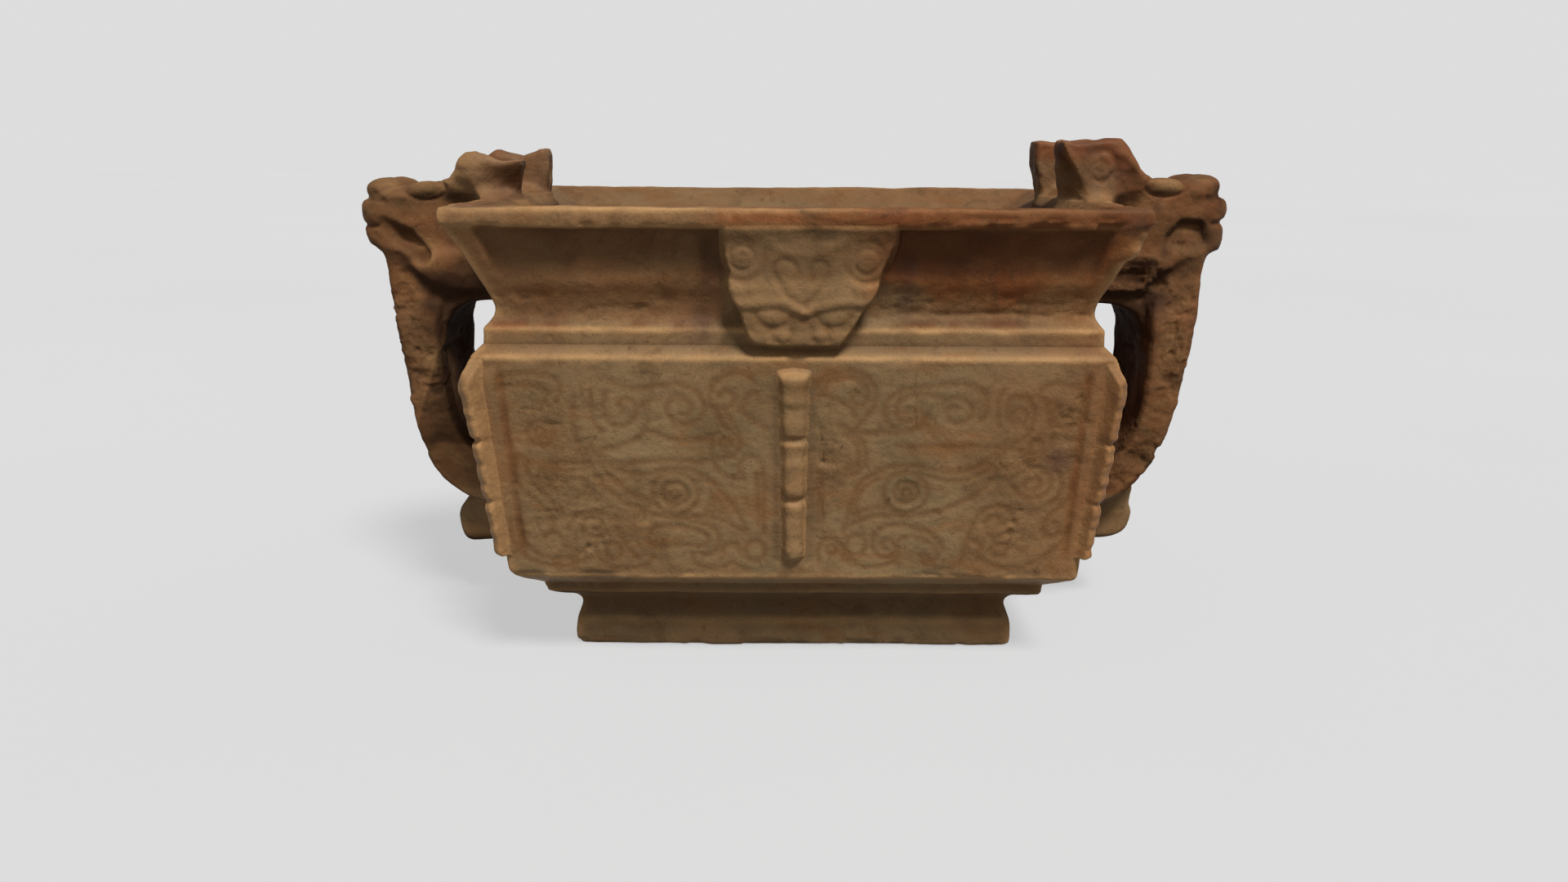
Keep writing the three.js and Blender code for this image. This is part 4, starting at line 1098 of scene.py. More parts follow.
def skin(F, ax, step):
    """One vertex in each lattice cell that the surface crosses, one quad for each crossed edge."""
    inside = F < 0
    n = F.shape
    cell = np.zeros((n[0] - 1, n[1] - 1, n[2] - 1), dtype=bool)
    c8 = [inside[a:n[0] - 1 + a, b:n[1] - 1 + b, c:n[2] - 1 + c] for a in (0, 1) for b in (0, 1) for c in (0, 1)]
    any_in, all_in = c8[0].copy(), c8[0].copy()
    for c in c8[1:]:
        any_in |= c
        all_in &= c
    cell = any_in & ~all_in
    ids = -np.ones(cell.shape, dtype=np.int64)
    where = np.argwhere(cell)
    ids[cell] = np.arange(len(where))
    acc = np.zeros((len(where), 3))
    cnt = np.zeros(len(where))
    corners = [(a, b, c) for a in (0, 1) for b in (0, 1) for c in (0, 1)]
    val = {c: F[where[:, 0] + c[0], where[:, 1] + c[1], where[:, 2] + c[2]] for c in corners}
    for ca in corners:
        for k in range(3):
            if ca[k]:
                continue
            cb = list(ca)
            cb[k] = 1
            cb = tuple(cb)
            va, vb = val[ca], val[cb]
            m = (va < 0) != (vb < 0)
            t = np.where(m, va / np.where(m, va - vb, 1.0), 0)
            p = np.tile(np.array(ca, float), (len(where), 1))
            p[:, k] += t
            acc += np.where(m[:, None], p, 0)
            cnt += m
    V = where + acc / cnt[:, None]
    V = np.stack([ax[k][0] + V[:, k] * step for k in range(3)], 1)
    quads = []
    for k in range(3):
        o1, o2 = [j for j in range(3) if j != k]
        sl_a = [slice(None)] * 3
        sl_b = [slice(None)] * 3
        sl_a[k], sl_b[k] = slice(0, n[k] - 1), slice(1, n[k])
        A, B = inside[tuple(sl_a)], inside[tuple(sl_b)]
        cross = np.argwhere(A != B)
        ok = (cross[:, o1] > 0) & (cross[:, o2] > 0) & (cross[:, o1] < n[o1] - 1) & (cross[:, o2] < n[o2] - 1)
        cross = cross[ok]
        flip = A[tuple(cross.T)]

        def cid(d1, d2):
            c = cross.copy()
            c[:, o1] -= d1
            c[:, o2] -= d2
            return ids[c[:, 0], c[:, 1], c[:, 2]]

        q = np.stack([cid(1, 1), cid(0, 1), cid(0, 0), cid(1, 0)], 1)
        if k == 1:
            flip = ~flip
        q = np.where(flip[:, None], q, q[:, ::-1])
        quads.append(q)
    return V, np.vstack(quads)


def keep_biggest(V, Q, least=400):
    """Drops loose crumbs: only connected sheets with at least so many faces stay."""
    n = len(V)
    lab = np.arange(n)
    a = np.concatenate([Q[:, 0], Q[:, 1], Q[:, 2]])
    b = np.concatenate([Q[:, 1], Q[:, 2], Q[:, 3]])
    while True:
        m = np.minimum(lab[a], lab[b])
        new = lab.copy()
        np.minimum.at(new, a, m)
        np.minimum.at(new, b, m)
        new = new[new]
        if (new == lab).all():
            break
        lab = new
    fl = lab[Q[:, 0]]
    u, c = np.unique(fl, return_counts=True)
    good = u[c >= min(least, c.max())]
    Q = Q[np.isin(fl, good)]
    used = np.unique(Q)
    m = -np.ones(n, dtype=np.int64)
    m[used] = np.arange(len(used))
    return V[used], m[Q]


def carve(name, node, slot, F, whole, ax, step, dive=None, extra=None, rough=1.0, flip=None, lines=None, crease=1.0):
    """Skins the lattice F, works the surface over, and makes the piece. whole is the lattice of the undivided
    member, for painted shade in its creases and paler arrises with painted highlights; dive tells how far to sink
    under a neighbour."""
    V, Q = skin(F, ax, step)
    V, Q = keep_biggest(V, Q)
    for _ in range(2):
        V = V - grad_at(F, ax, step, V) * tri(F, ax, step, V)[:, None] * 0.8
    N = grad_at(whole, ax, step, V, step * 1.2)
    own = grad_at(F, ax, step, V, step * 1.2)
    # painted shade in creases, and pale arrises that also carry painted highlights, read off the undivided member
    crease_shade = np.clip((0.9 - tri(whole, ax, step, V + N * 0.9)) / 0.9, 0, 1)
    crease_shade_wide = np.clip((2.2 - tri(whole, ax, step, V + N * 2.2)) / 2.2, 0, 1)
    edge = np.clip((tri(whole, ax, step, V - N * 0.8) + 0.8) / 0.8, 0, 1)
    turn = np.ones(3) if flip is None else flip
    at = V * turn
    h = carve_noise(at) * rough
    worked = extra(V) if extra is not None else np.zeros(len(V))
    h = h + worked
    # the end hidden inside the neighbour follows along, so that no lip of it shows
    deep = -tri(whole, ax, step, V)
    h = h * (1 - smooth(1.4, 3.2, deep))
    V2 = V + N * h[:, None]
    if dive is not None:
        V2 = V2 - N * dive(V)[:, None]
    V2 = V2 * turn
    own = own * turn
    # faces turn their right side out
    e1, e2 = V2[Q[:, 2]] - V2[Q[:, 0]], V2[Q[:, 3]] - V2[Q[:, 1]]
    if (np.cross(e1, e2) * own[Q[:, 0]]).sum() < 0:
        Q = Q[:, ::-1]
    # the creases' painted shade goes into the groove mask
    g = crease * np.clip(0.75 * crease_shade + 0.4 * crease_shade_wide, 0, 1)
    if lines is not None:
        g = np.maximum(g * 0.8, lines(V))
    m = masks(V2, g, N * turn)
    # painted shade in what is broken away, painted highlights on what stands proud
    m["shade_and_dark_tone"] = np.clip(m["shade_and_dark_tone"] + 0.34 * smooth(0.12, 0.7, -worked), 0, 1)
    m["edge"] = np.maximum(m["edge"], 0.55 * smooth(0.03, 0.24, worked) * (np.abs(V2[:, 0]) > 60))
    edge = np.maximum(edge, 0.45 * smooth(0.03, 0.24, worked))
    # the mask and the fins are paler all over; the left fins also carry a painted highlight
    m["edge"] = np.clip(np.maximum(edge * 1.2, m["edge"] * ((np.abs(V2[:, 0]) > 66) | (V2[:, 2] > 88.2))) + (0.30 if slot in ("jade_mask", "jade_flange") else 0.0) + (0.25 * (V2[:, 0] < -50) if slot == "jade_flange" else 0.0), 0, 1)
    return to_object(name, V2, Q.tolist(), [node], MAT[slot], m)


# =====================================================================================
# handles: beast heads, ears, straps and pendants
# =====================================================================================
STRAP_OUT = {
    1: curve([(82.4, 78), (81.9, 66.8), (81.2, 58.4), (80.2, 49.9), (78.7, 42.9), (76.7, 36.7), (73.6, 31.0), (69.3, 27.0), (64.5, 24.6), (58, 23.2), (50, 22.6)], 4),
    -1: curve([(82.3, 78), (81.6, 66.8), (80.7, 58.4), (79.9, 49.9), (79.0, 42.9), (77.6, 36.7), (75.2, 31.0), (71.0, 27.0), (66.0, 24.8), (58, 23.2), (50, 22.6)], 4),
}
STRAP_IN = curve([(50, 33.8), (58, 33.4), (63.6, 34.6), (67.6, 37.6), (70.0, 42.4), (71.2, 50), (71.4, 58), (70.9, 66), (70.4, 78)], 4)
HEADS = {
    1: dict(
        dz=0.0,
        skull=[(50.5, 72.0), (50.5, 85.6), (52.5, 87.0), (56, 88.6), (59, 90.2), (62, 91.0), (67.2, 91.3), (70.2, 91.5), (74, 91.2), (77.4, 90.6), (80.8, 89.8), (83.6, 88.6), (85.6, 87.2), (86.4, 85.6),
               (86.1, 84.4), (85.2, 83.2), (85.7, 81.8), (86.0, 79.6), (84.9, 77.6), (82.4, 76.9), (79.6, 75.4), (76.8, 73.2), (74.0, 70.8), (71.0, 69.2), (66.5, 68.9), (62, 68.8), (57, 69.0)],
        ear_front=[(52.6, 84.0), (51.2, 90.0), (50.5, 93.8), (50.2, 97.0), (50.6, 98.4), (51.7, 98.6), (53.4, 98.1), (56.2, 98.5), (60, 98.9), (62.2, 98.8), (63.6, 97.8), (64.9, 95.7),
                   (66.1, 93.6), (68.6, 91.2), (68, 89.4), (62, 88.0), (59.4, 84)],
        ear_back=[(52.4, 84.0), (50.8, 91.2), (50.0, 93.6), (49.9, 96.4), (50.1, 98.3), (52.2, 98.5), (56.2, 98.2), (60, 98.8), (62.3, 98.8), (63.6, 97.8), (64.9, 95.7),
                  (66.0, 93.7), (68.4, 91.2), (68, 89.4), (62, 88.0), (59.4, 84)],
    ),
    -1: dict(
        dz=-1.3,
        skull=[(50.5, 72.0), (50.5, 85.4), (52.5, 86.6), (56, 87.8), (59, 89.0), (62, 89.6), (66, 90.2), (69.5, 90.4), (73, 90.0), (76.0, 89.4), (79.8, 88.6), (84.0, 87.4), (86.6, 86.2), (87.5, 84.8),
               (87.0, 83.0), (86.0, 81.8), (86.1, 81.0), (86.0, 79.6), (84.8, 78.2), (82.6, 77.0), (79.8, 75.8), (77.0, 73.4), (74.6, 70.0), (71.6, 68.4), (68, 67.6), (64, 68.2), (57, 68.8)],
        ear_front=[(54.4, 84.0), (53.4, 89.2), (52.8, 91.6), (52.2, 93.4), (52.2, 94.5), (53.2, 94.9), (55.4, 94.5), (57.4, 94.6), (59.2, 95.5), (61.0, 96.2), (62.8, 96.0), (64.3, 94.8),
                  (65.6, 92.5), (67.6, 90.2), (67.4, 88.2), (62, 87.0), (59.4, 84)],
        ear_back=[(53.2, 84.0), (52.0, 89.4), (51.5, 92.6), (51.7, 95.2), (52.2, 96.4), (53.2, 96.4), (55.4, 95.6), (57.6, 95.0), (60.4, 95.5), (62.8, 96.2), (64.4, 95.2),
                  (65.6, 92.8), (67.4, 90.4), (67.4, 88.2), (62, 87.0), (59.4, 84)],
    ),
}


def head_field(side, X, Y, Z):
    """Head and ears on the lattice, in the right-hand handle's frame."""
    S = HEADS[side]
    dz = S["dz"]
    A = np.abs(Y)
    # the snout narrows and rounds off
    hw = 10.6 * np.sqrt(np.clip(1 - np.clip((X - 75.0) / 12.7, 0, 1) ** 3.0, 0.02, 1))
    # the cheeks swell low down and the flank sinks behind them
    hw = hw + 0.9 * np.exp(-(((X - 70.0) / 4.4) ** 2 + ((Z - 74.0 - dz * 0.3) / 4.0) ** 2)) - 0.9 * np.exp(-(((X - 63.5) / 3.6) ** 2 + ((Z - 81) / 7.5) ** 2))
    hw = hw - 0.5 * np.exp(-(((X - 78.6) / 2.6) ** 2 + ((Z - 86.9 - dz) / 1.7) ** 2)) + 0.3 * np.exp(-(((X - 70) / 3.6) ** 2 + ((Z - 84.4 - dz) / 2.6) ** 2))
    f = slab(poly(X, Z, S["skull"]) + 0.0 * A, A - hw, 2.0)
    # a long hollow runs down the middle of the brow, between the eyes
    f = smax(f, -ball(X, Y, Z, (72.8, 0, 94.0 + dz), (7.5, 4.6, 2.8)), 1.6)
    # between the ears the crown falls away to the bowl
    f = smax(f, -ball(X, Y, Z, (51.5, 0, 93.4 + dz), (8.0, 5.6, 5.6)), 2.4)
    # the nose: one broad flattened knob with a faint parting
    nx = 79.9 if side > 0 else 81.0
    f = smin(f, ball(X, Y, Z, (nx, 0, 89.9 + dz), (4.3, 9.6, 2.5)), 1.1)
    f = smin(f, ball(X, A, Z, (nx + 1.2, 4.6, 89.8 + dz), (2.9, 3.6, 2.1)), 1.0)
    f = smax(f, -rod(X, Y, Z, (80.5, 0, 93.1 + dz), (85.4, 0, 90.8 + dz), 0.9), 1.3)
    for s in (-1, 1):
        # eyes: flat almonds in a soft ring
        e = ball(X, Y, Z, (71.7, s * 9.4, 90.15 + dz), (3.6, 1.9, 1.62))
        f = smin(f, e, 0.9)
        # corners of the muzzle
        f = smin(f, ball(X, Y, Z, (81.3 - 0.6 * (side > 0), s * 6.9, 85.7 + dz), (3.3, 2.6, 2.6)), 1.6)
    if side > 0:
        # the open mouth: a crescent cut round a rough lobe
        f = smax(f, -ball(X, A, Z, (77.0, 12.0, 80.4), (4.2, 2.6, 3.0)), 1.6)
        for a, b, r0, r1 in (((73.4, 11.0, 77.4), (74.0, 10.7, 80.0), 0.6, 0.95), ((74.0, 10.7, 80.0), (76.0, 10.4, 82.1), 0.95, 1.15), ((76.0, 10.4, 82.1), (78.6, 10.1, 82.3), 1.15, 1.05), ((78.6, 10.1, 82.3), (79.8, 9.9, 80.0), 1.05, 0.6)):
            f = smax(f, -rod(X, A, Z, a, b, r0, r1), 1.0)
        f = smin(f, ball(X, A, Z, (76.9, 8.5, 79.2), (2.8, 1.9, 2.5)), 1.1)
        # broken ground below the lip's corner
        f = smax(f, -ball(X, A, Z, (67.0, 12.4, 72.9), (6.6, 2.8, 3.6)), 1.4)
    else:
        f = smin(f, ball(X, A, Z, (69.6, 9.7, 73.4), (4.8, 2.3, 3.8)), 1.8)
        f = smax(f, -rod(X, A, Z, (80.4, 10.9, 82.0), (76.4, 10.4, 79.4), 1.2, 1.75), 1.3)
        f = smax(f, -rod(X, A, Z, (76.4, 10.4, 79.4), (73.2, 10.5, 76.2), 1.7, 1.9), 0.9)
        # a soft fold runs down from the lip's corner
        f = smax(f, -rod(X, A, Z, (62.5, 11.6, 81.0), (64.8, 11.4, 74.5), 0.7, 0.9), 1.6)
    # the hand hole is cut round at its top, set back from both faces
    web = poly(X, Z, [(56, 72), (56, 67.4), (61, 67.0), (65.6, 66.4), (68.6, 64.8), (70.4, 61.8), (71.2, 58.0), (75, 58), (75, 72)])
    f = smin(f, slab(web, A - 9.0, 1.0), 0.9)
    # a small pit behind the eye
    f = smax(f, -ball(X, A, Z, (62.4, 10.6, 88.3 + dz), (0.9, 0.9, 0.6)), 0.5)
    ears = []
    for s, key in ((-1, "ear_front"), (1, "ear_back")):
        w = s * Y  # grows outwards
        d2 = poly(X, Z, S[key])
        if side > 0:
            cx, cz = 57.9, 93.6
            rr = np.sqrt((X - cx) ** 2 + ((Z - cz) * 1.02) ** 2)
            turn = np.arctan2(Z - cz, X - cx)
            rel = 0.20 * np.exp(-(rr / 2.4) ** 4) - 0.26 * np.exp(-((rr - 2.9 - 0.22 * turn) / 0.62) ** 2) * smooth(3.1, 1.2, np.abs(turn)) - 0.12 * np.exp(-((rr - 1.1 - 0.12 * turn) / 0.4) ** 2)
            rel = rel * smooth(62.2, 60.6, X)
            lap = 0.36 * np.clip(96.0 - Z, 0, 8.5) * smooth(58.0, 65.0, X)
            e = slab(d2, np.maximum(w - (13.9 + rel - lap), 6.9 - w), 1.0)
            if s < 0:
                # the inner end is sliced on the slant
                face = 50.2 + np.clip((w - 8.2) / 5.7, 0, 1.2) * (0.1 + 0.62 * np.clip(97.9 - Z, 0, 10))
                e = smax(e, (face - X) * 0.85, 0.7)
                e = smax(e, -ball(X, w, Z, (48.9, 12.6, 91.5), (3.6, 2.6, 3.6)), 1.0)
            else:
                e = smax(e, -ball(X, w, Z, (48.6, 11.2, 94.4), (1.6, 2.6, 3.0)), 0.8)
            # the upper arris dips between crest and tip
            e = smax(e, -ball(X, w, Z, (55.4, 9.2, 100.2), (4.2, 2.8, 1.9)), 1.1)
            # facets at the outer end
            e = smax(e, 0.66 * (X - 63.4) + 0.5 * (w - 13.0) + 0.55 * (Z - 96.3), 0.8)
        else:
            lap = 0.34 * np.clip(94.0 - Z, 0, 8.0) * smooth(58.0, 64.5, X)
            e = slab(d2, np.maximum(w - (13.7 - lap), 6.9 - w), 1.5)
            if s < 0:
                e = smin(e, ball(X, w, Z, (60.6, 11.6, 92.4), (4.0, 2.6, 3.0)), 1.6)
                # the inner end leans back under its crest
                back = 14.0 - 0.66 * np.clip(94.6 - Z, 0, 7) - 0.18 * np.clip(58.0 - X, 0, 6)
                e = smax(e, smin((w - back) * 0.8, (59.6 - X + 0.5 * (w - 13.4)) * 0.62, 2.2), 1.5)
                e = smax(e, -ball(X, w, Z, (57.6, 8.6, 97.2), (4.0, 3.0, 2.3)), 1.2)
            else:
                e = smax(e, -ball(X, w, Z, (50.6, 10.8, 92.0), (1.8, 2.6, 3.4)), 0.9)
                e = smax(e, -ball(X, w, Z, (57.8, 9.6, 97.4), (4.4, 2.6, 1.9)), 1.1)
        ears.append(e)
    both = smin(ears[0], ears[1], 0.6)
    return smin(f, both, 2.6)


def strap_field(side, X, Y, Z):
    A = np.abs(Y)
    outline = np.vstack([STRAP_OUT[side], STRAP_IN])
    # the outline is evaluated on two planes of Y and blended, which follows the bowed outer face
    d_mid = poly(X, Z, outline)
    d_out = poly(X + 1.6, Z, outline)
    k = (A / 12.0) ** 2
    # only the outer face is bowed
    inner = smooth(0.0, -3.0, X - np.interp(Z, [24, 30, 36, 44, 50, 60, 80], [62, 68, 71.5, 74.5, 76.0, 77.0, 77.5]))
    k = k * (1 - inner)
    d2 = d_mid * (1 - k) + d_out * k
    # the hand hole narrows a little towards the back
    w = inner * smooth(1.0, 10.0, Y)
    d2 = d2 * (1 - w) + poly(X + 0.8, Z, outline) * w
    half = 11.5 - 1.2 * smooth(62, 73, Z) - 0.4 * np.exp(-((Z - 50) / 8.0) ** 2)
    f = slab(d2, A - half, 1.5)
    if side < 0:
        # the front turns inwards a little, low down
        turn = np.clip((68.8 + (62.6 - Z) * 0.43) - X, 0, 6)
        f = smax(f, (A - (half - 0.16 * turn)) * 0.97, 0.8)
    else:
        # the front is worn hollow along its inner arris, which stands up like a frame
        f = smax(f, -rod(X, A, Z, (76.2, 13.2, 67), (75.0, 13.2, 46), 2.1, 1.9), 1.3)
        f = smax(f, -ball(X, A, Z, (70.9, 12.2, 35.2), (2.4, 1.3, 1.9)), 1.2)
    return f


def pendant_field(side, X, Y, Z):
    A = np.abs(Y)
    if side > 0:
        pts = [(50, 25.6), (60, 26.0), (68, 27.6), (72.6, 27.4), (73.0, 25.4), (72.8, 23.2), (73.3, 21.4), (73.0, 19.0), (71.6, 16.6), (67.6, 15.4), (57, 15.4), (50, 15.8)]
    else:
        pts = [(50, 24.6), (60, 24.8), (66.6, 24.8), (69.8, 24.0), (71.8, 22.2), (72.6, 20.0), (72.4, 17.6), (71.6, 15.2), (70.2, 14.2), (66.0, 14.2), (57, 14.4), (50, 14.8)]
    return slab(poly(X, Z, curve(pts, 3)), A - (5.0 - 0.05 * (Z - 16)), 1.3)


OVER = 1.8       # how far neighbours carry on under each other
SINK = 0.13


def handle(side):
    step = 0.3
    lo, hi = np.array([47.5, -18.0, 13.2]), np.array([89.6, 18.0, 100.6])
    ax, X, Y, Z = lattice(lo, hi, step)
    head = head_field(side, X, Y, Z)
    strap = strap_field(side, X, Y, Z)
    pend = pendant_field(side, X, Y, Z)
    # the strap springs from under the jowl
    U = smin(head, strap, 1.6)
    # the jaw lines are cut across both
    A = np.abs(Y)
    if side > 0:
        cuts = (((77.6, 11.7, 75.6), (72.4, 11.5, 71.0), 0.8, 1.5), ((72.4, 11.5, 71.0), (66.0, 11.4, 66.4), 1.5, 2.1))
    else:
        cuts = (((78.2, 11.4, 76.0), (76.6, 11.4, 72.4), 0.8, 1.3), ((76.6, 11.4, 72.4), (71.4, 11.7, 68.4), 1.3, 1.5), ((71.4, 11.7, 68.4), (64.0, 11.4, 66.6), 1.5, 1.8))
    for a, b, r0, r1 in cuts:
        U = smax(U, -rod(X, A, Z, a, b, r0, r1), 1.1)
    U = smin(U, pend, 0.8)
    ves = vessel(X, Y, Z)
    k = 1.7 + 1.5 * smooth(85.0, 87.4, Z)
    whole = smin(U, ves, k)
    edge = U / k
    skirt = smin(U, ves + 0.04 + 0.14 * smooth(0.35, 0.95, edge), k)
    F = np.maximum(np.maximum(skirt, U - k * 1.03), -ves - 1.6)
    top = 91.4 + HEADS[side]["dz"] - 3.2 * smooth(62.0, 55.0, X)
    in_ear = np.maximum(np.maximum(top - Z, 5.4 - np.abs(Y)), X - 68.2)
    zc = np.interp(X, [60, 66, 69, 72, 75, 80, 90], [62, 64, 67.6, 69.4, 71.0, 73.6, 74.0])
    in_strap = (Z - zc) * 0.8
    zp = np.interp(X, [50, 58, 64.5, 70.6, 74.9], [22.6, 23.0, 24.4, 26.9, 30.9])
    in_pend = np.maximum(np.maximum(Z - zp, np.abs(Y) - 7.2), X - 75.0)
    tag = "right" if side > 0 else "left"
    flip = np.array([side, 1.0, 1.0])

    def crags(P):
        """Broken stone: under the right lip's corner, down the right strap, and in patches on the left."""
        A = np.abs(P[:, 1])
        if side > 0:
            w = 1.5 * np.exp(-(((P[:, 0] - 67.6) / 6.2) ** 2 + ((P[:, 2] - 72.2) / 4.4) ** 2) ** 1.5)
            w = np.maximum(w, 0.80 * smooth(73.0, 74.5, P[:, 0]) * smooth(80.5, 79, P[:, 0]) * smooth(44, 50, P[:, 2]) * smooth(72, 68, P[:, 2]))
            w = np.maximum(w, 0.7 * smooth(44, 38, P[:, 2]) * smooth(27, 31, P[:, 2]))
            w = np.maximum(w, 0.7 * np.exp(-(((P[:, 0] - 77.0) / 2.6) ** 2 + ((P[:, 2] - 80.0) / 2.2) ** 2)))
        else:
            w = 0.75 * smooth(72.0, 74.5, P[:, 0] - 0.35 * (P[:, 2] - 60)) * smooth(40, 46, P[:, 2]) * smooth(73, 68, P[:, 2])
        w = w * smooth(8.6, 9.8, A)
        c = fbm(P, 2.6, 3, 401)
        d = fbm(P + 9.0, 1.4, 2, 409)
        h = w * (-0.50 * smooth(-0.05, 0.36, c) - 0.30 * smooth(0.0, 0.4, d) + 0.30 * d + 0.14)
        # worn unevenly everywhere
        h = h + 0.17 * fbm(P, 3.4, 3, 417) + 0.05 * fbm(P, 1.5, 1, 421) - 0.16 * smooth(0.12, 0.5, fbm(P * np.array([0.7, 1, 1.2]), 4.4, 3, 419))
        dz = HEADS[side]["dz"]
        B = np.column_stack([P[:, 0], A, P[:, 2]])
        q = np.sqrt(((P[:, 0] - 71.7) / 3.7) ** 2 + ((P[:, 2] - 90.2 - dz) / 1.75) ** 2)
        h = h - 0.34 * np.exp(-((q - 1.14) / 0.15) ** 2) * smooth(6.5, 8.5, A) * smooth(5.5, 7.5, A)
        h = h - 0.50 * along(B, [(86.6, 0, 88.5 + dz), (85.4, 4.6, 88.4 + dz), (83.2, 8.0, 88.2 + dz), (80.4, 9.9, 88.0 + dz)], 0.6)
        h = h - 0.50 * along(B, [(87.4, 0, 83.2 + dz), (86.0, 5.0, 83.2 + dz), (83.8, 8.6, 83.1 + dz), (81.8, 10.0, 83.0 + dz)], 0.55)
        return h

    def make(name, node, slot, region):
        G_ = np.maximum(F, region - OVER)
        carve(name, node, slot, G_, whole, ax, step, dive=lambda P: SINK * smooth(0.05, 0.95, tri(region, ax, step, P)), flip=flip, rough=1.0, extra=crags)

    make(tag + "_head_carved", tag + "_head", "jade_head", np.maximum(-in_ear, -in_strap))
    for s, kk in ((-1, "front"), (1, "back")):
        make(f"{tag}_ear_{kk}_carved", f"{tag}_ear_{kk}", "jade_head", np.maximum(in_ear, 5.4 - s * Y))
    make(tag + "_strap_carved", tag + "_strap", "jade_strap", np.maximum(in_strap, -in_pend))
    make(tag + "_pendant_carved", tag + "_pendant", "jade_strap", in_pend)


def flange_centre(side):
    """The rounded rib down the middle of the front and of the back, parted in three."""
    step = 0.22
    ax, X, Y, Z = lattice((-5.2, side * 39.5 - 5.6, 20.6), (5.2, side * 39.5 + 5.6, 61.4), step)
    w = side * Y - (RIM_D / 2 - 3.0 - (BELLY_TOP - Z) * TAPER)   # out from the wall
    t = np.clip((Z - FLANGE_Z[0]) / (FLANGE_Z[1] - FLANGE_Z[0]), 0, 1)
    half = 1.75 + 0.72 * t + 0.07 * np.sin(Z * 1.55 + 0.6)
    out = 1.75 + 0.10 * np.sin(Z * 1.55)
    for zc, dp, wd in ((34.9, 0.62, 0.62), (46.6, 0.66, 0.6), (40.9, 0.12, 0.8), (52.6, 0.14, 0.8), (29.2, 0.12, 0.8)):
        out = out - dp * np.exp(-((Z - zc) / wd) ** 2)
        half = half - 0.42 * dp * np.exp(-((Z - zc) / wd) ** 2)
    # each part swells towards its foot
    out = out + 0.22 * np.exp(-((Z - 36.4) / 1.3) ** 2) + 0.2 * np.exp(-((Z - 48.2) / 1.3) ** 2) + 0.12 * np.exp(-((Z - 24.8) / 1.4) ** 2)
    ends = np.maximum(FLANGE_Z[0] - 0.2 + 0.16 * np.minimum(X * X, 9.0) - Z, (Z - (FLANGE_Z[1] - 0.1) + 0.05 * np.minimum(X * X, 9.0)) * 0.7 + 0 * w)
    hump = 1 - np.clip(np.abs(X) / (half + 0.25), 0, 1) ** 2.6
    f = slab(np.maximum(np.abs(X) - half + 0 * Y, ends), w - (out * (0.45 + 0.55 * hump)), 0.8)
    ves = w * 0.997
    whole = smin(f, ves, 1.5)
    F = np.maximum(np.maximum(smin(f, ves + 0.04 + 0.26 * smooth(0.4, 1.4, f), 1.5), f - 1.55), -w - 1.6)
    k = "front" if side < 0 else "back"
    carve(f"flange_{k}_carved", f"flange_{k}", "jade_flange", F, whole, ax, step, rough=1.0, crease=0.35)


def flange_corner(sx, sy):
    """A softly scalloped fin along one upright edge of the belly, parted in three."""
    step = 0.22
    cx, cy = sx * 56.6, sy * 38.6
    ax, X, Y, Z = lattice((cx - 5.8, cy - 5.8, 21.4), (cx + 5.8, cy + 5.8, 62.6), step)
    i = 3.0 + (BELLY_TOP - Z) * TAPER
    u, v = sx * X - (RIM_W / 2 - i), sy * Y - (RIM_D / 2 - i)      # beyond the two walls
    s = (u + v) / math.sqrt(2)                                       # out along the diagonal
    c = (u - v) / math.sqrt(2)                                       # across it
    t = np.clip((Z - 23.8) / 34.0, 0, 1)
    out = 1.55 + 0.75 * t + (0.09 + 0.05 * np.sin(Z * 0.37 + sy)) * np.sin(Z * 1.62 + sx + 0.8 * np.sin(Z * 0.5)) + 0.05 * np.sin(Z * 3.0 + 2 * sy)
    half = 1.0 + 0.36 * t
    for zc, dp, wd in ((34.5, 0.55, 0.6), (46.3, 0.6, 0.6)):
        out = out - dp * np.exp(-((Z - zc) / wd) ** 2)
        half = half - 0.25 * dp * np.exp(-((Z - zc) / wd) ** 2)
    # the top slants out from the belly's corner to the first tip
    roof = (Z - 60.6 + 1.5 * np.clip(np.maximum(u, v), 0, 9)) * 0.55
    f = slab(np.maximum(np.abs(c) - half, np.maximum(23.4 - Z, roof)), s - out, 0.62)
    wall = np.maximum(u, v)
    whole = smin(f, wall, 0.9)
    F = np.maximum(np.maximum(smin(f, wall + 0.06 + 0.5 * smooth(0.1, 0.7, f), 0.9), f - 0.8), -wall - 1.3)
    F = np.maximum(F, Z - 61.2)
    k = ("front" if sy < 0 else "back") + "_" + ("right" if sx > 0 else "left")
    carve(f"flange_{k}_carved", f"flange_{k}", "jade_flange", F, whole, ax, step, rough=0.9, crease=0.2)


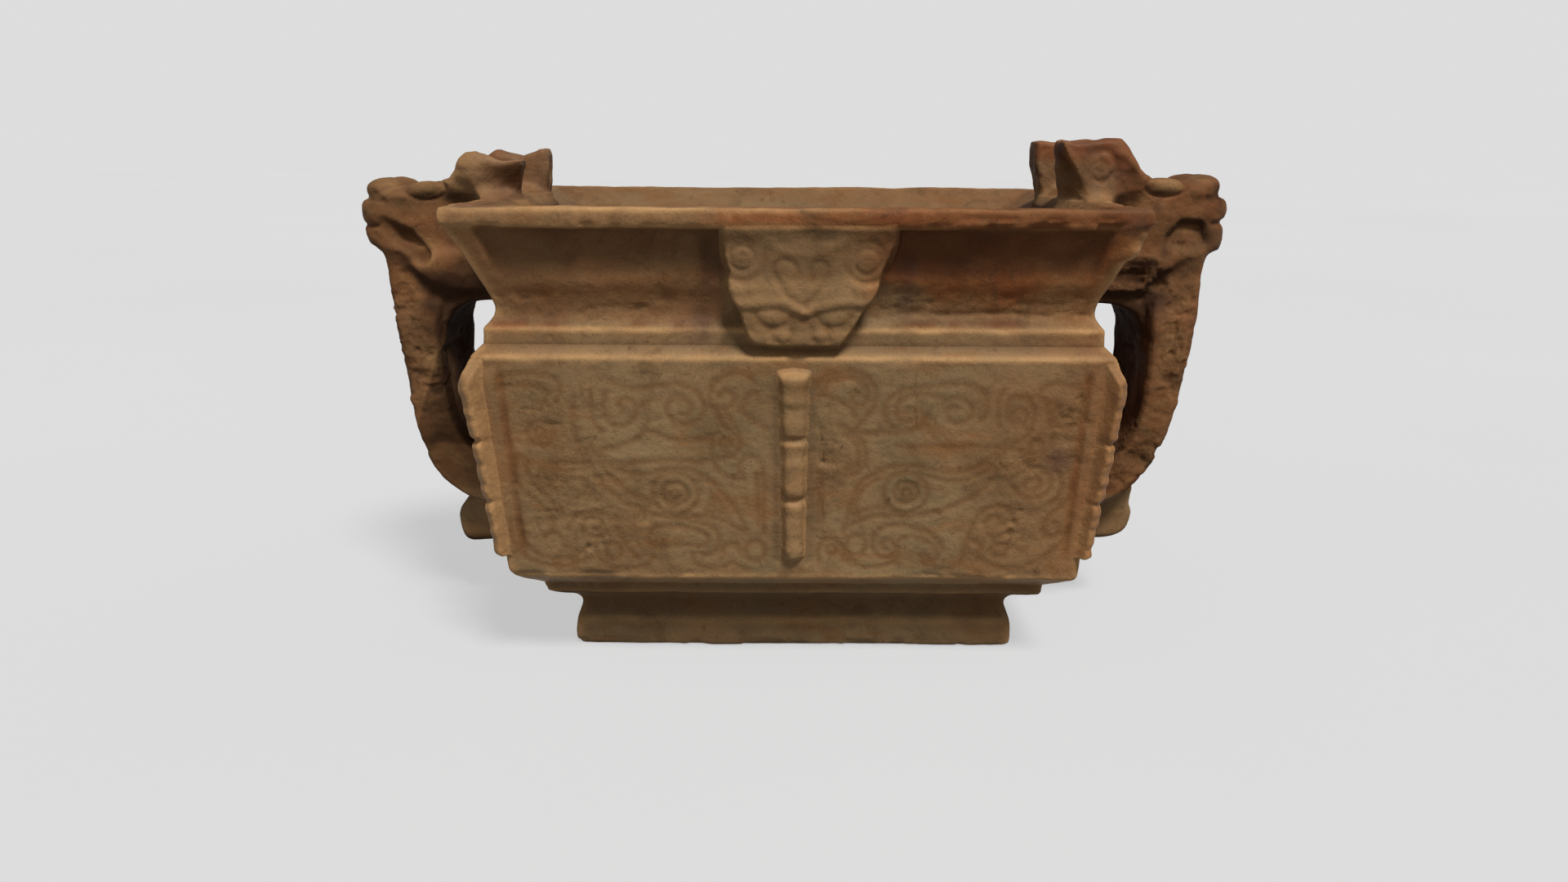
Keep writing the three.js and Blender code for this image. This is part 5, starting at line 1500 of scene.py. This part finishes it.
# =====================================================================================
# taotie mask on the waist, front and back
# =====================================================================================
MASK_Y = 41.2
MASK_OUT = [(882, 272), (881, 300), (882, 315), (886, 328), (889, 334), (887, 345), (888, 358), (893, 370), (900, 380), (904, 395), (909, 410), (914, 421), (921, 428), (950, 431), (990, 431), (1030, 430),
            (1038, 422), (1048, 406), (1058, 391), (1069, 375), (1077, 362), (1080, 352), (1081, 342), (1085, 332), (1092, 318), (1097, 300), (1099, 272), (1060, 272), (990, 272), (920, 272)]
MASK_GROOVES = [  # points of the frame, depth, width in mm
    ([(985, 378), (977, 373), (968, 367), (960, 359), (955, 350), (949, 341), (945, 332), (948, 324), (956, 319), (965, 320), (972, 325), (975, 333), (972, 343)], 0.55, 0.45),
    ([(985, 378), (991, 371), (997, 364), (1004, 355), (1009, 345), (1013, 336), (1012, 327), (1005, 321), (997, 323), (992, 331), (993, 345)], 0.55, 0.45),
    ([(985, 378), (985, 372)], 0.5, 0.5),
    ([(923, 385), (927, 393), (935, 400), (945, 403), (956, 401), (965, 395), (968, 388)], 0.5, 0.5),
    ([(999, 388), (1004, 396), (1014, 402), (1025, 402), (1036, 397), (1042, 389)], 0.5, 0.5),
    ([(944, 402), (944, 412), (947, 422)], 0.45, 0.45),
    ([(967, 402), (968, 412), (965, 423)], 0.4, 0.45),
    ([(993, 402), (994, 412), (997, 424)], 0.4, 0.45),
    ([(1012, 403), (1014, 412), (1012, 423)], 0.45, 0.45),
    ([(951, 420), (958, 424), (965, 421)], 0.35, 0.4),
    ([(996, 419), (1003, 423), (1010, 420)], 0.35, 0.4),
    ([(917, 404), (925, 409), (938, 409)], 0.3, 0.4),
    ([(1019, 408), (1030, 407), (1040, 402)], 0.3, 0.4),
    ([(892, 340), (905, 345), (915, 345), (925, 340), (932, 332), (936, 320), (936, 306)], 0.4, 0.5),
    ([(1076, 345), (1064, 347), (1052, 346), (1042, 340), (1036, 330), (1034, 316), (1036, 304)], 0.4, 0.5),
    ([(985, 383), (985, 395)], 0.2, 0.5),
]


def on_mask(px, py):
    return on_plane(px, py, -MASK_Y)


def mask_relief(x, z):
    """Height of the mask's face over its plane, at grids of X and Z."""
    sh = x.shape
    u, v = x.ravel(), z.ravel()
    h = np.zeros(len(u))
    g = np.zeros(len(u))

    def ring(c, r, depth, w):
        cx, cz = on_mask(*c)
        k = abs(on_mask(c[0] + 10, c[1])[0] - cx) / 10
        d = np.hypot(u - cx, v - cz) - r * k
        return -depth * np.exp(-(d / w) ** 2)

    def lump(c, rx, rz, up, p=2.0):
        cx, cz = on_mask(*c)
        k = abs(on_mask(c[0] + 10, c[1])[0] - cx) / 10
        q = np.sqrt(((u - cx) / (rx * k)) ** 2 + ((v - cz) / (rz * k)) ** 2)
        return up * np.clip(1 - q ** p, 0, 1)

    def ridge(pts, up, w):
        ln = np.array([on_mask(*p) for p in curve(pts)])
        d = distance_to([ln], u, v, 3.0)
        return up * np.exp(-(d / w) ** 2)

    # horns: a disc each, ringed by a groove
    h += lump((907, 317), 13, 13, 0.6) + ring((907, 317), 15, 0.9, 0.5) + ring((907, 318), 6, 0.35, 0.35)
    h += lump((1061, 321), 15, 15, 0.6) + ring((1061, 321), 15.5, 0.8, 0.45) + ring((1062, 322), 24, 0.5, 0.5) + ring((1062, 323), 6, 0.3, 0.35)
    h += ring((907, 318), 24, 0.3, 0.6)
    # the crest between them, over a hollow
    h += ridge([(940, 294), (948, 302), (962, 309), (985, 313), (1008, 310), (1022, 303), (1030, 294)], 0.5, 0.8)
    h += lump((1001, 287), 40, 14, -1.5, 1.6)
    # heart-shaped brow, cheeks and ears
    h += lump((985, 345), 24, 26, 0.25)
    h += lump((900, 356), 9, 9, 0.6) + lump((1063, 358), 10, 10, 0.6)
    h += ridge([(892, 369), (905, 374), (930, 372), (955, 371), (975, 378), (984, 383)], 0.75, 0.75)
    h += ridge([(986, 383), (1005, 376), (1030, 371), (1050, 372), (1068, 370)], 0.75, 0.75)
    # below the brow the face steps back, but for the nose
    brow = np.array([on_mask(*p)[::1] for p in curve([(880, 372), (905, 380), (930, 379), (955, 379), (985, 390), (1005, 383), (1030, 378), (1060, 378), (1090, 376)])])
    zb = np.interp(u, brow[:, 0], brow[:, 1])
    h -= 0.60 * smooth(0.35, -0.35, v - zb)
    h += lump((944, 393), 21, 10, 0.5) + lump((1020, 392), 21, 10, 0.5)
    h += ridge([(983, 386), (983, 402), (981, 418)], 1.0, 1.5)
    h += lump((958, 413), 9, 9, 0.65) + lump((1003, 412), 9, 9, 0.65)
    h += lump((929, 413), 11, 10, 0.5, 4) + lump((1025, 413), 10, 10, 0.45, 4)
    h += lump((981, 420), 26, 10, 0.4)
    for pts, depth, w in MASK_GROOVES:
        ln = np.array([on_mask(*p) for p in curve(pts)])
        d = distance_to([ln], u, v, 2.0)
        h -= depth * np.exp(-(d / w) ** 2)
        h += depth * 0.18 * np.exp(-((d - 1.15) / 0.6) ** 2)
        g = np.maximum(g, np.exp(-(d / 0.55) ** 2))
    # the carving is rubbed soft
    h, g = h.reshape(sh), g.reshape(sh)
    for _ in range(4):
        h = (h + np.roll(h, 1, 0) + np.roll(h, -1, 0) + np.roll(h, 1, 1) + np.roll(h, -1, 1)) / 5
    return 0.39 * h, 0.48 * g


def mask_piece(side):
    step = 0.2
    y0, y1 = (-43.6, -33.0) if side < 0 else (33.0, 43.6)
    ax, X, Y, Z = lattice((-17.0, y0, 61.5), (20.2, y1, 86.5), step)
    xs, zs = np.meshgrid(ax[0], ax[2], indexing="ij")
    wob = 0.0 if side < 0 else 0.35
    u = xs if side < 0 else -xs
    rel, gr = mask_relief(u + wob * np.sin(zs * 0.5), zs)
    out = np.array([on_mask(*p) for p in MASK_OUT])
    d2 = poly(u, zs, out) + 0.55
    w = side * Y
    # the face leans back a little towards the chin
    lean = 0.045 * np.clip(74.0 - zs, 0, 12) - 0.02 * np.clip(zs - 78, 0, 8)
    face = (MASK_Y - 0.35 - lean + rel * smooth(85.0, 83.4, zs) + 0.55 * smooth(81.5, 84.4, zs))[:, None, :]
    f = slab(d2[:, None, :], w - face, 0.7)
    ves = vessel(X, Y, Z)
    whole = smin(f, ves, 1.0)
    outside = w - (RIM_D / 2 - outer_inset(Z))
    F = np.maximum(np.maximum(smin(f, ves + 0.03 + 0.12 * smooth(0.2, 0.95, f), 1.0), f - 1.04), -outside - 1.4)
    F = np.maximum(F, Z - 86.4)
    k = "front" if side < 0 else "back"

    def lines(P):
        i = np.clip(((P[:, 0] - ax[0][0]) / step).round().astype(int), 0, len(ax[0]) - 1)
        j = np.clip(((P[:, 2] - ax[2][0]) / step).round().astype(int), 0, len(ax[2]) - 1)
        return gr[i, j] * (side * P[:, 1] > MASK_Y - 3.6)

    carve(f"{k}_mask_carved", f"{k}_mask", "jade_mask", F, whole, ax, step, rough=1.0, lines=lines, crease=0.5)


for side in (1, -1):
    handle(side)
flange_centre(-1)
flange_centre(1)
for sx in (1, -1):
    for sy in (-1, 1):
        flange_corner(sx, sy)
mask_piece(-1)
mask_piece(1)

# =====================================================================================
# carried-over members
# =====================================================================================
left = [n for n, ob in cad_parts.items() if not ob.hide_render]
if left:
    plain = jade("jade_plain", own_masks=False)
    for n in left:
        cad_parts[n].data.materials.clear()
        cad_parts[n].data.materials.append(plain)

# =====================================================================================
# floor, lights and camera
# =====================================================================================
def floor_material():
    mat = bpy.data.materials.new("studio_floor")
    G = Graph(mat)
    co = G.new("ShaderNodeTexCoord").outputs["Object"]
    n = G.noise(co, 3.0, 3.0, 0.5)
    bsdf = G.new("ShaderNodeBsdfPrincipled")
    G.put(bsdf, "Base Color", G.ramp(n, [(0.3, srgb(112, 112, 112)), (0.7, srgb(114, 114, 114))]))
    bsdf.inputs["Roughness"].default_value = 0.95
    bsdf.inputs["Specular IOR Level"].default_value = 0.1
    G.put(bsdf, "Emission Color", G.ramp(n, [(0.3, srgb(221, 221, 221)), (0.7, srgb(222, 222, 222))]))
    bsdf.inputs["Emission Strength"].default_value = 0.72
    out = G.new("ShaderNodeOutputMaterial")
    G.t.links.new(bsdf.outputs["BSDF"], out.inputs["Surface"])
    return mat


me = bpy.data.meshes.new("studio_floor")
ring_n, radii = 96, (0.0, 0.3, 1.0, 3.9)
fv = [(0.0, 0.0, -0.0002)] + [(r * math.cos(2 * math.pi * k / ring_n), r * math.sin(2 * math.pi * k / ring_n), -0.0002) for r in radii[1:] for k in range(ring_n)]
ff = [(0, 1 + k, 1 + (k + 1) % ring_n) for k in range(ring_n)]
for j in range(len(radii) - 2):
    a0, b0 = 1 + j * ring_n, 1 + (j + 1) * ring_n
    ff += [(a0 + k, b0 + k, b0 + (k + 1) % ring_n, a0 + (k + 1) % ring_n) for k in range(ring_n)]
me.from_pydata(fv, [], ff)
floor = bpy.data.objects.new("studio_floor", me)
bpy.context.scene.collection.objects.link(floor)
me.materials.append(floor_material())

# a plain pale dome stands behind everything; it is there to be seen, and the lights do the lighting
dome_mat = bpy.data.materials.new("studio_dome")
DG = Graph(dome_mat)
em = DG.new("ShaderNodeEmission")
em.inputs["Color"].default_value = srgb(221, 221, 221)
em.inputs["Strength"].default_value = 1.0
do = DG.new("ShaderNodeOutputMaterial")
DG.t.links.new(em.outputs[0], do.inputs["Surface"])
bm = bmesh.new()
bmesh.ops.create_uvsphere(bm, u_segments=64, v_segments=32, radius=4.0)
me = bpy.data.meshes.new("studio_dome")
bm.to_mesh(me)
bm.free()
me.materials.append(dome_mat)
dome = bpy.data.objects.new("studio_dome", me)
bpy.context.scene.collection.objects.link(dome)
for k in ("visible_diffuse", "visible_glossy", "visible_transmission", "visible_shadow", "visible_volume_scatter"):
    setattr(dome, k, False)
floor.visible_diffuse = False

world = bpy.data.worlds.new("studio")
bpy.context.scene.world = world
world.use_nodes = True
world.node_tree.nodes["Background"].inputs["Color"].default_value = (1.0, 1.0, 1.0, 1.0)
world.node_tree.nodes["Background"].inputs["Strength"].default_value = 0.22


def sun(name, toward, strength, angle):
    """Light that comes from the direction given, the same everywhere."""
    d = bpy.data.lights.new(name, "SUN")
    d.energy = strength
    d.angle = math.radians(angle)
    o = bpy.data.objects.new(name, d)
    o.rotation_mode = "QUATERNION"
    o.rotation_quaternion = Vector(toward).to_track_quat("Z", "Y")
    bpy.context.scene.collection.objects.link(o)
    return o


sun("key", (0.24, -0.47, 0.85), 3.45, 15.0)
sun("front_fill", (-0.25, -0.96, 0.12), 0.35, 50.0)

cam_data = bpy.data.cameras.new("camera")
cam_data.sensor_width = 36.0
cam_data.lens = FOCAL / 1920.0 * 36.0
cam_data.shift_x = -(CENTRE_X - 960.0) / 1920.0
cam_data.clip_start, cam_data.clip_end = 0.01, 50.0
cam = bpy.data.objects.new("camera", cam_data)
cam.matrix_world = Matrix.Translation((0, CAM_Y * 0.001, CAM_Z * 0.001)) @ Matrix.Rotation(math.radians(90) - PITCH, 4, "X") @ Matrix.Rotation(math.radians(0.3), 4, "Z")
bpy.context.scene.collection.objects.link(cam)
bpy.context.scene.camera = cam
bpy.context.scene.view_settings.view_transform = "Standard"

bpy.context.view_layer.update()
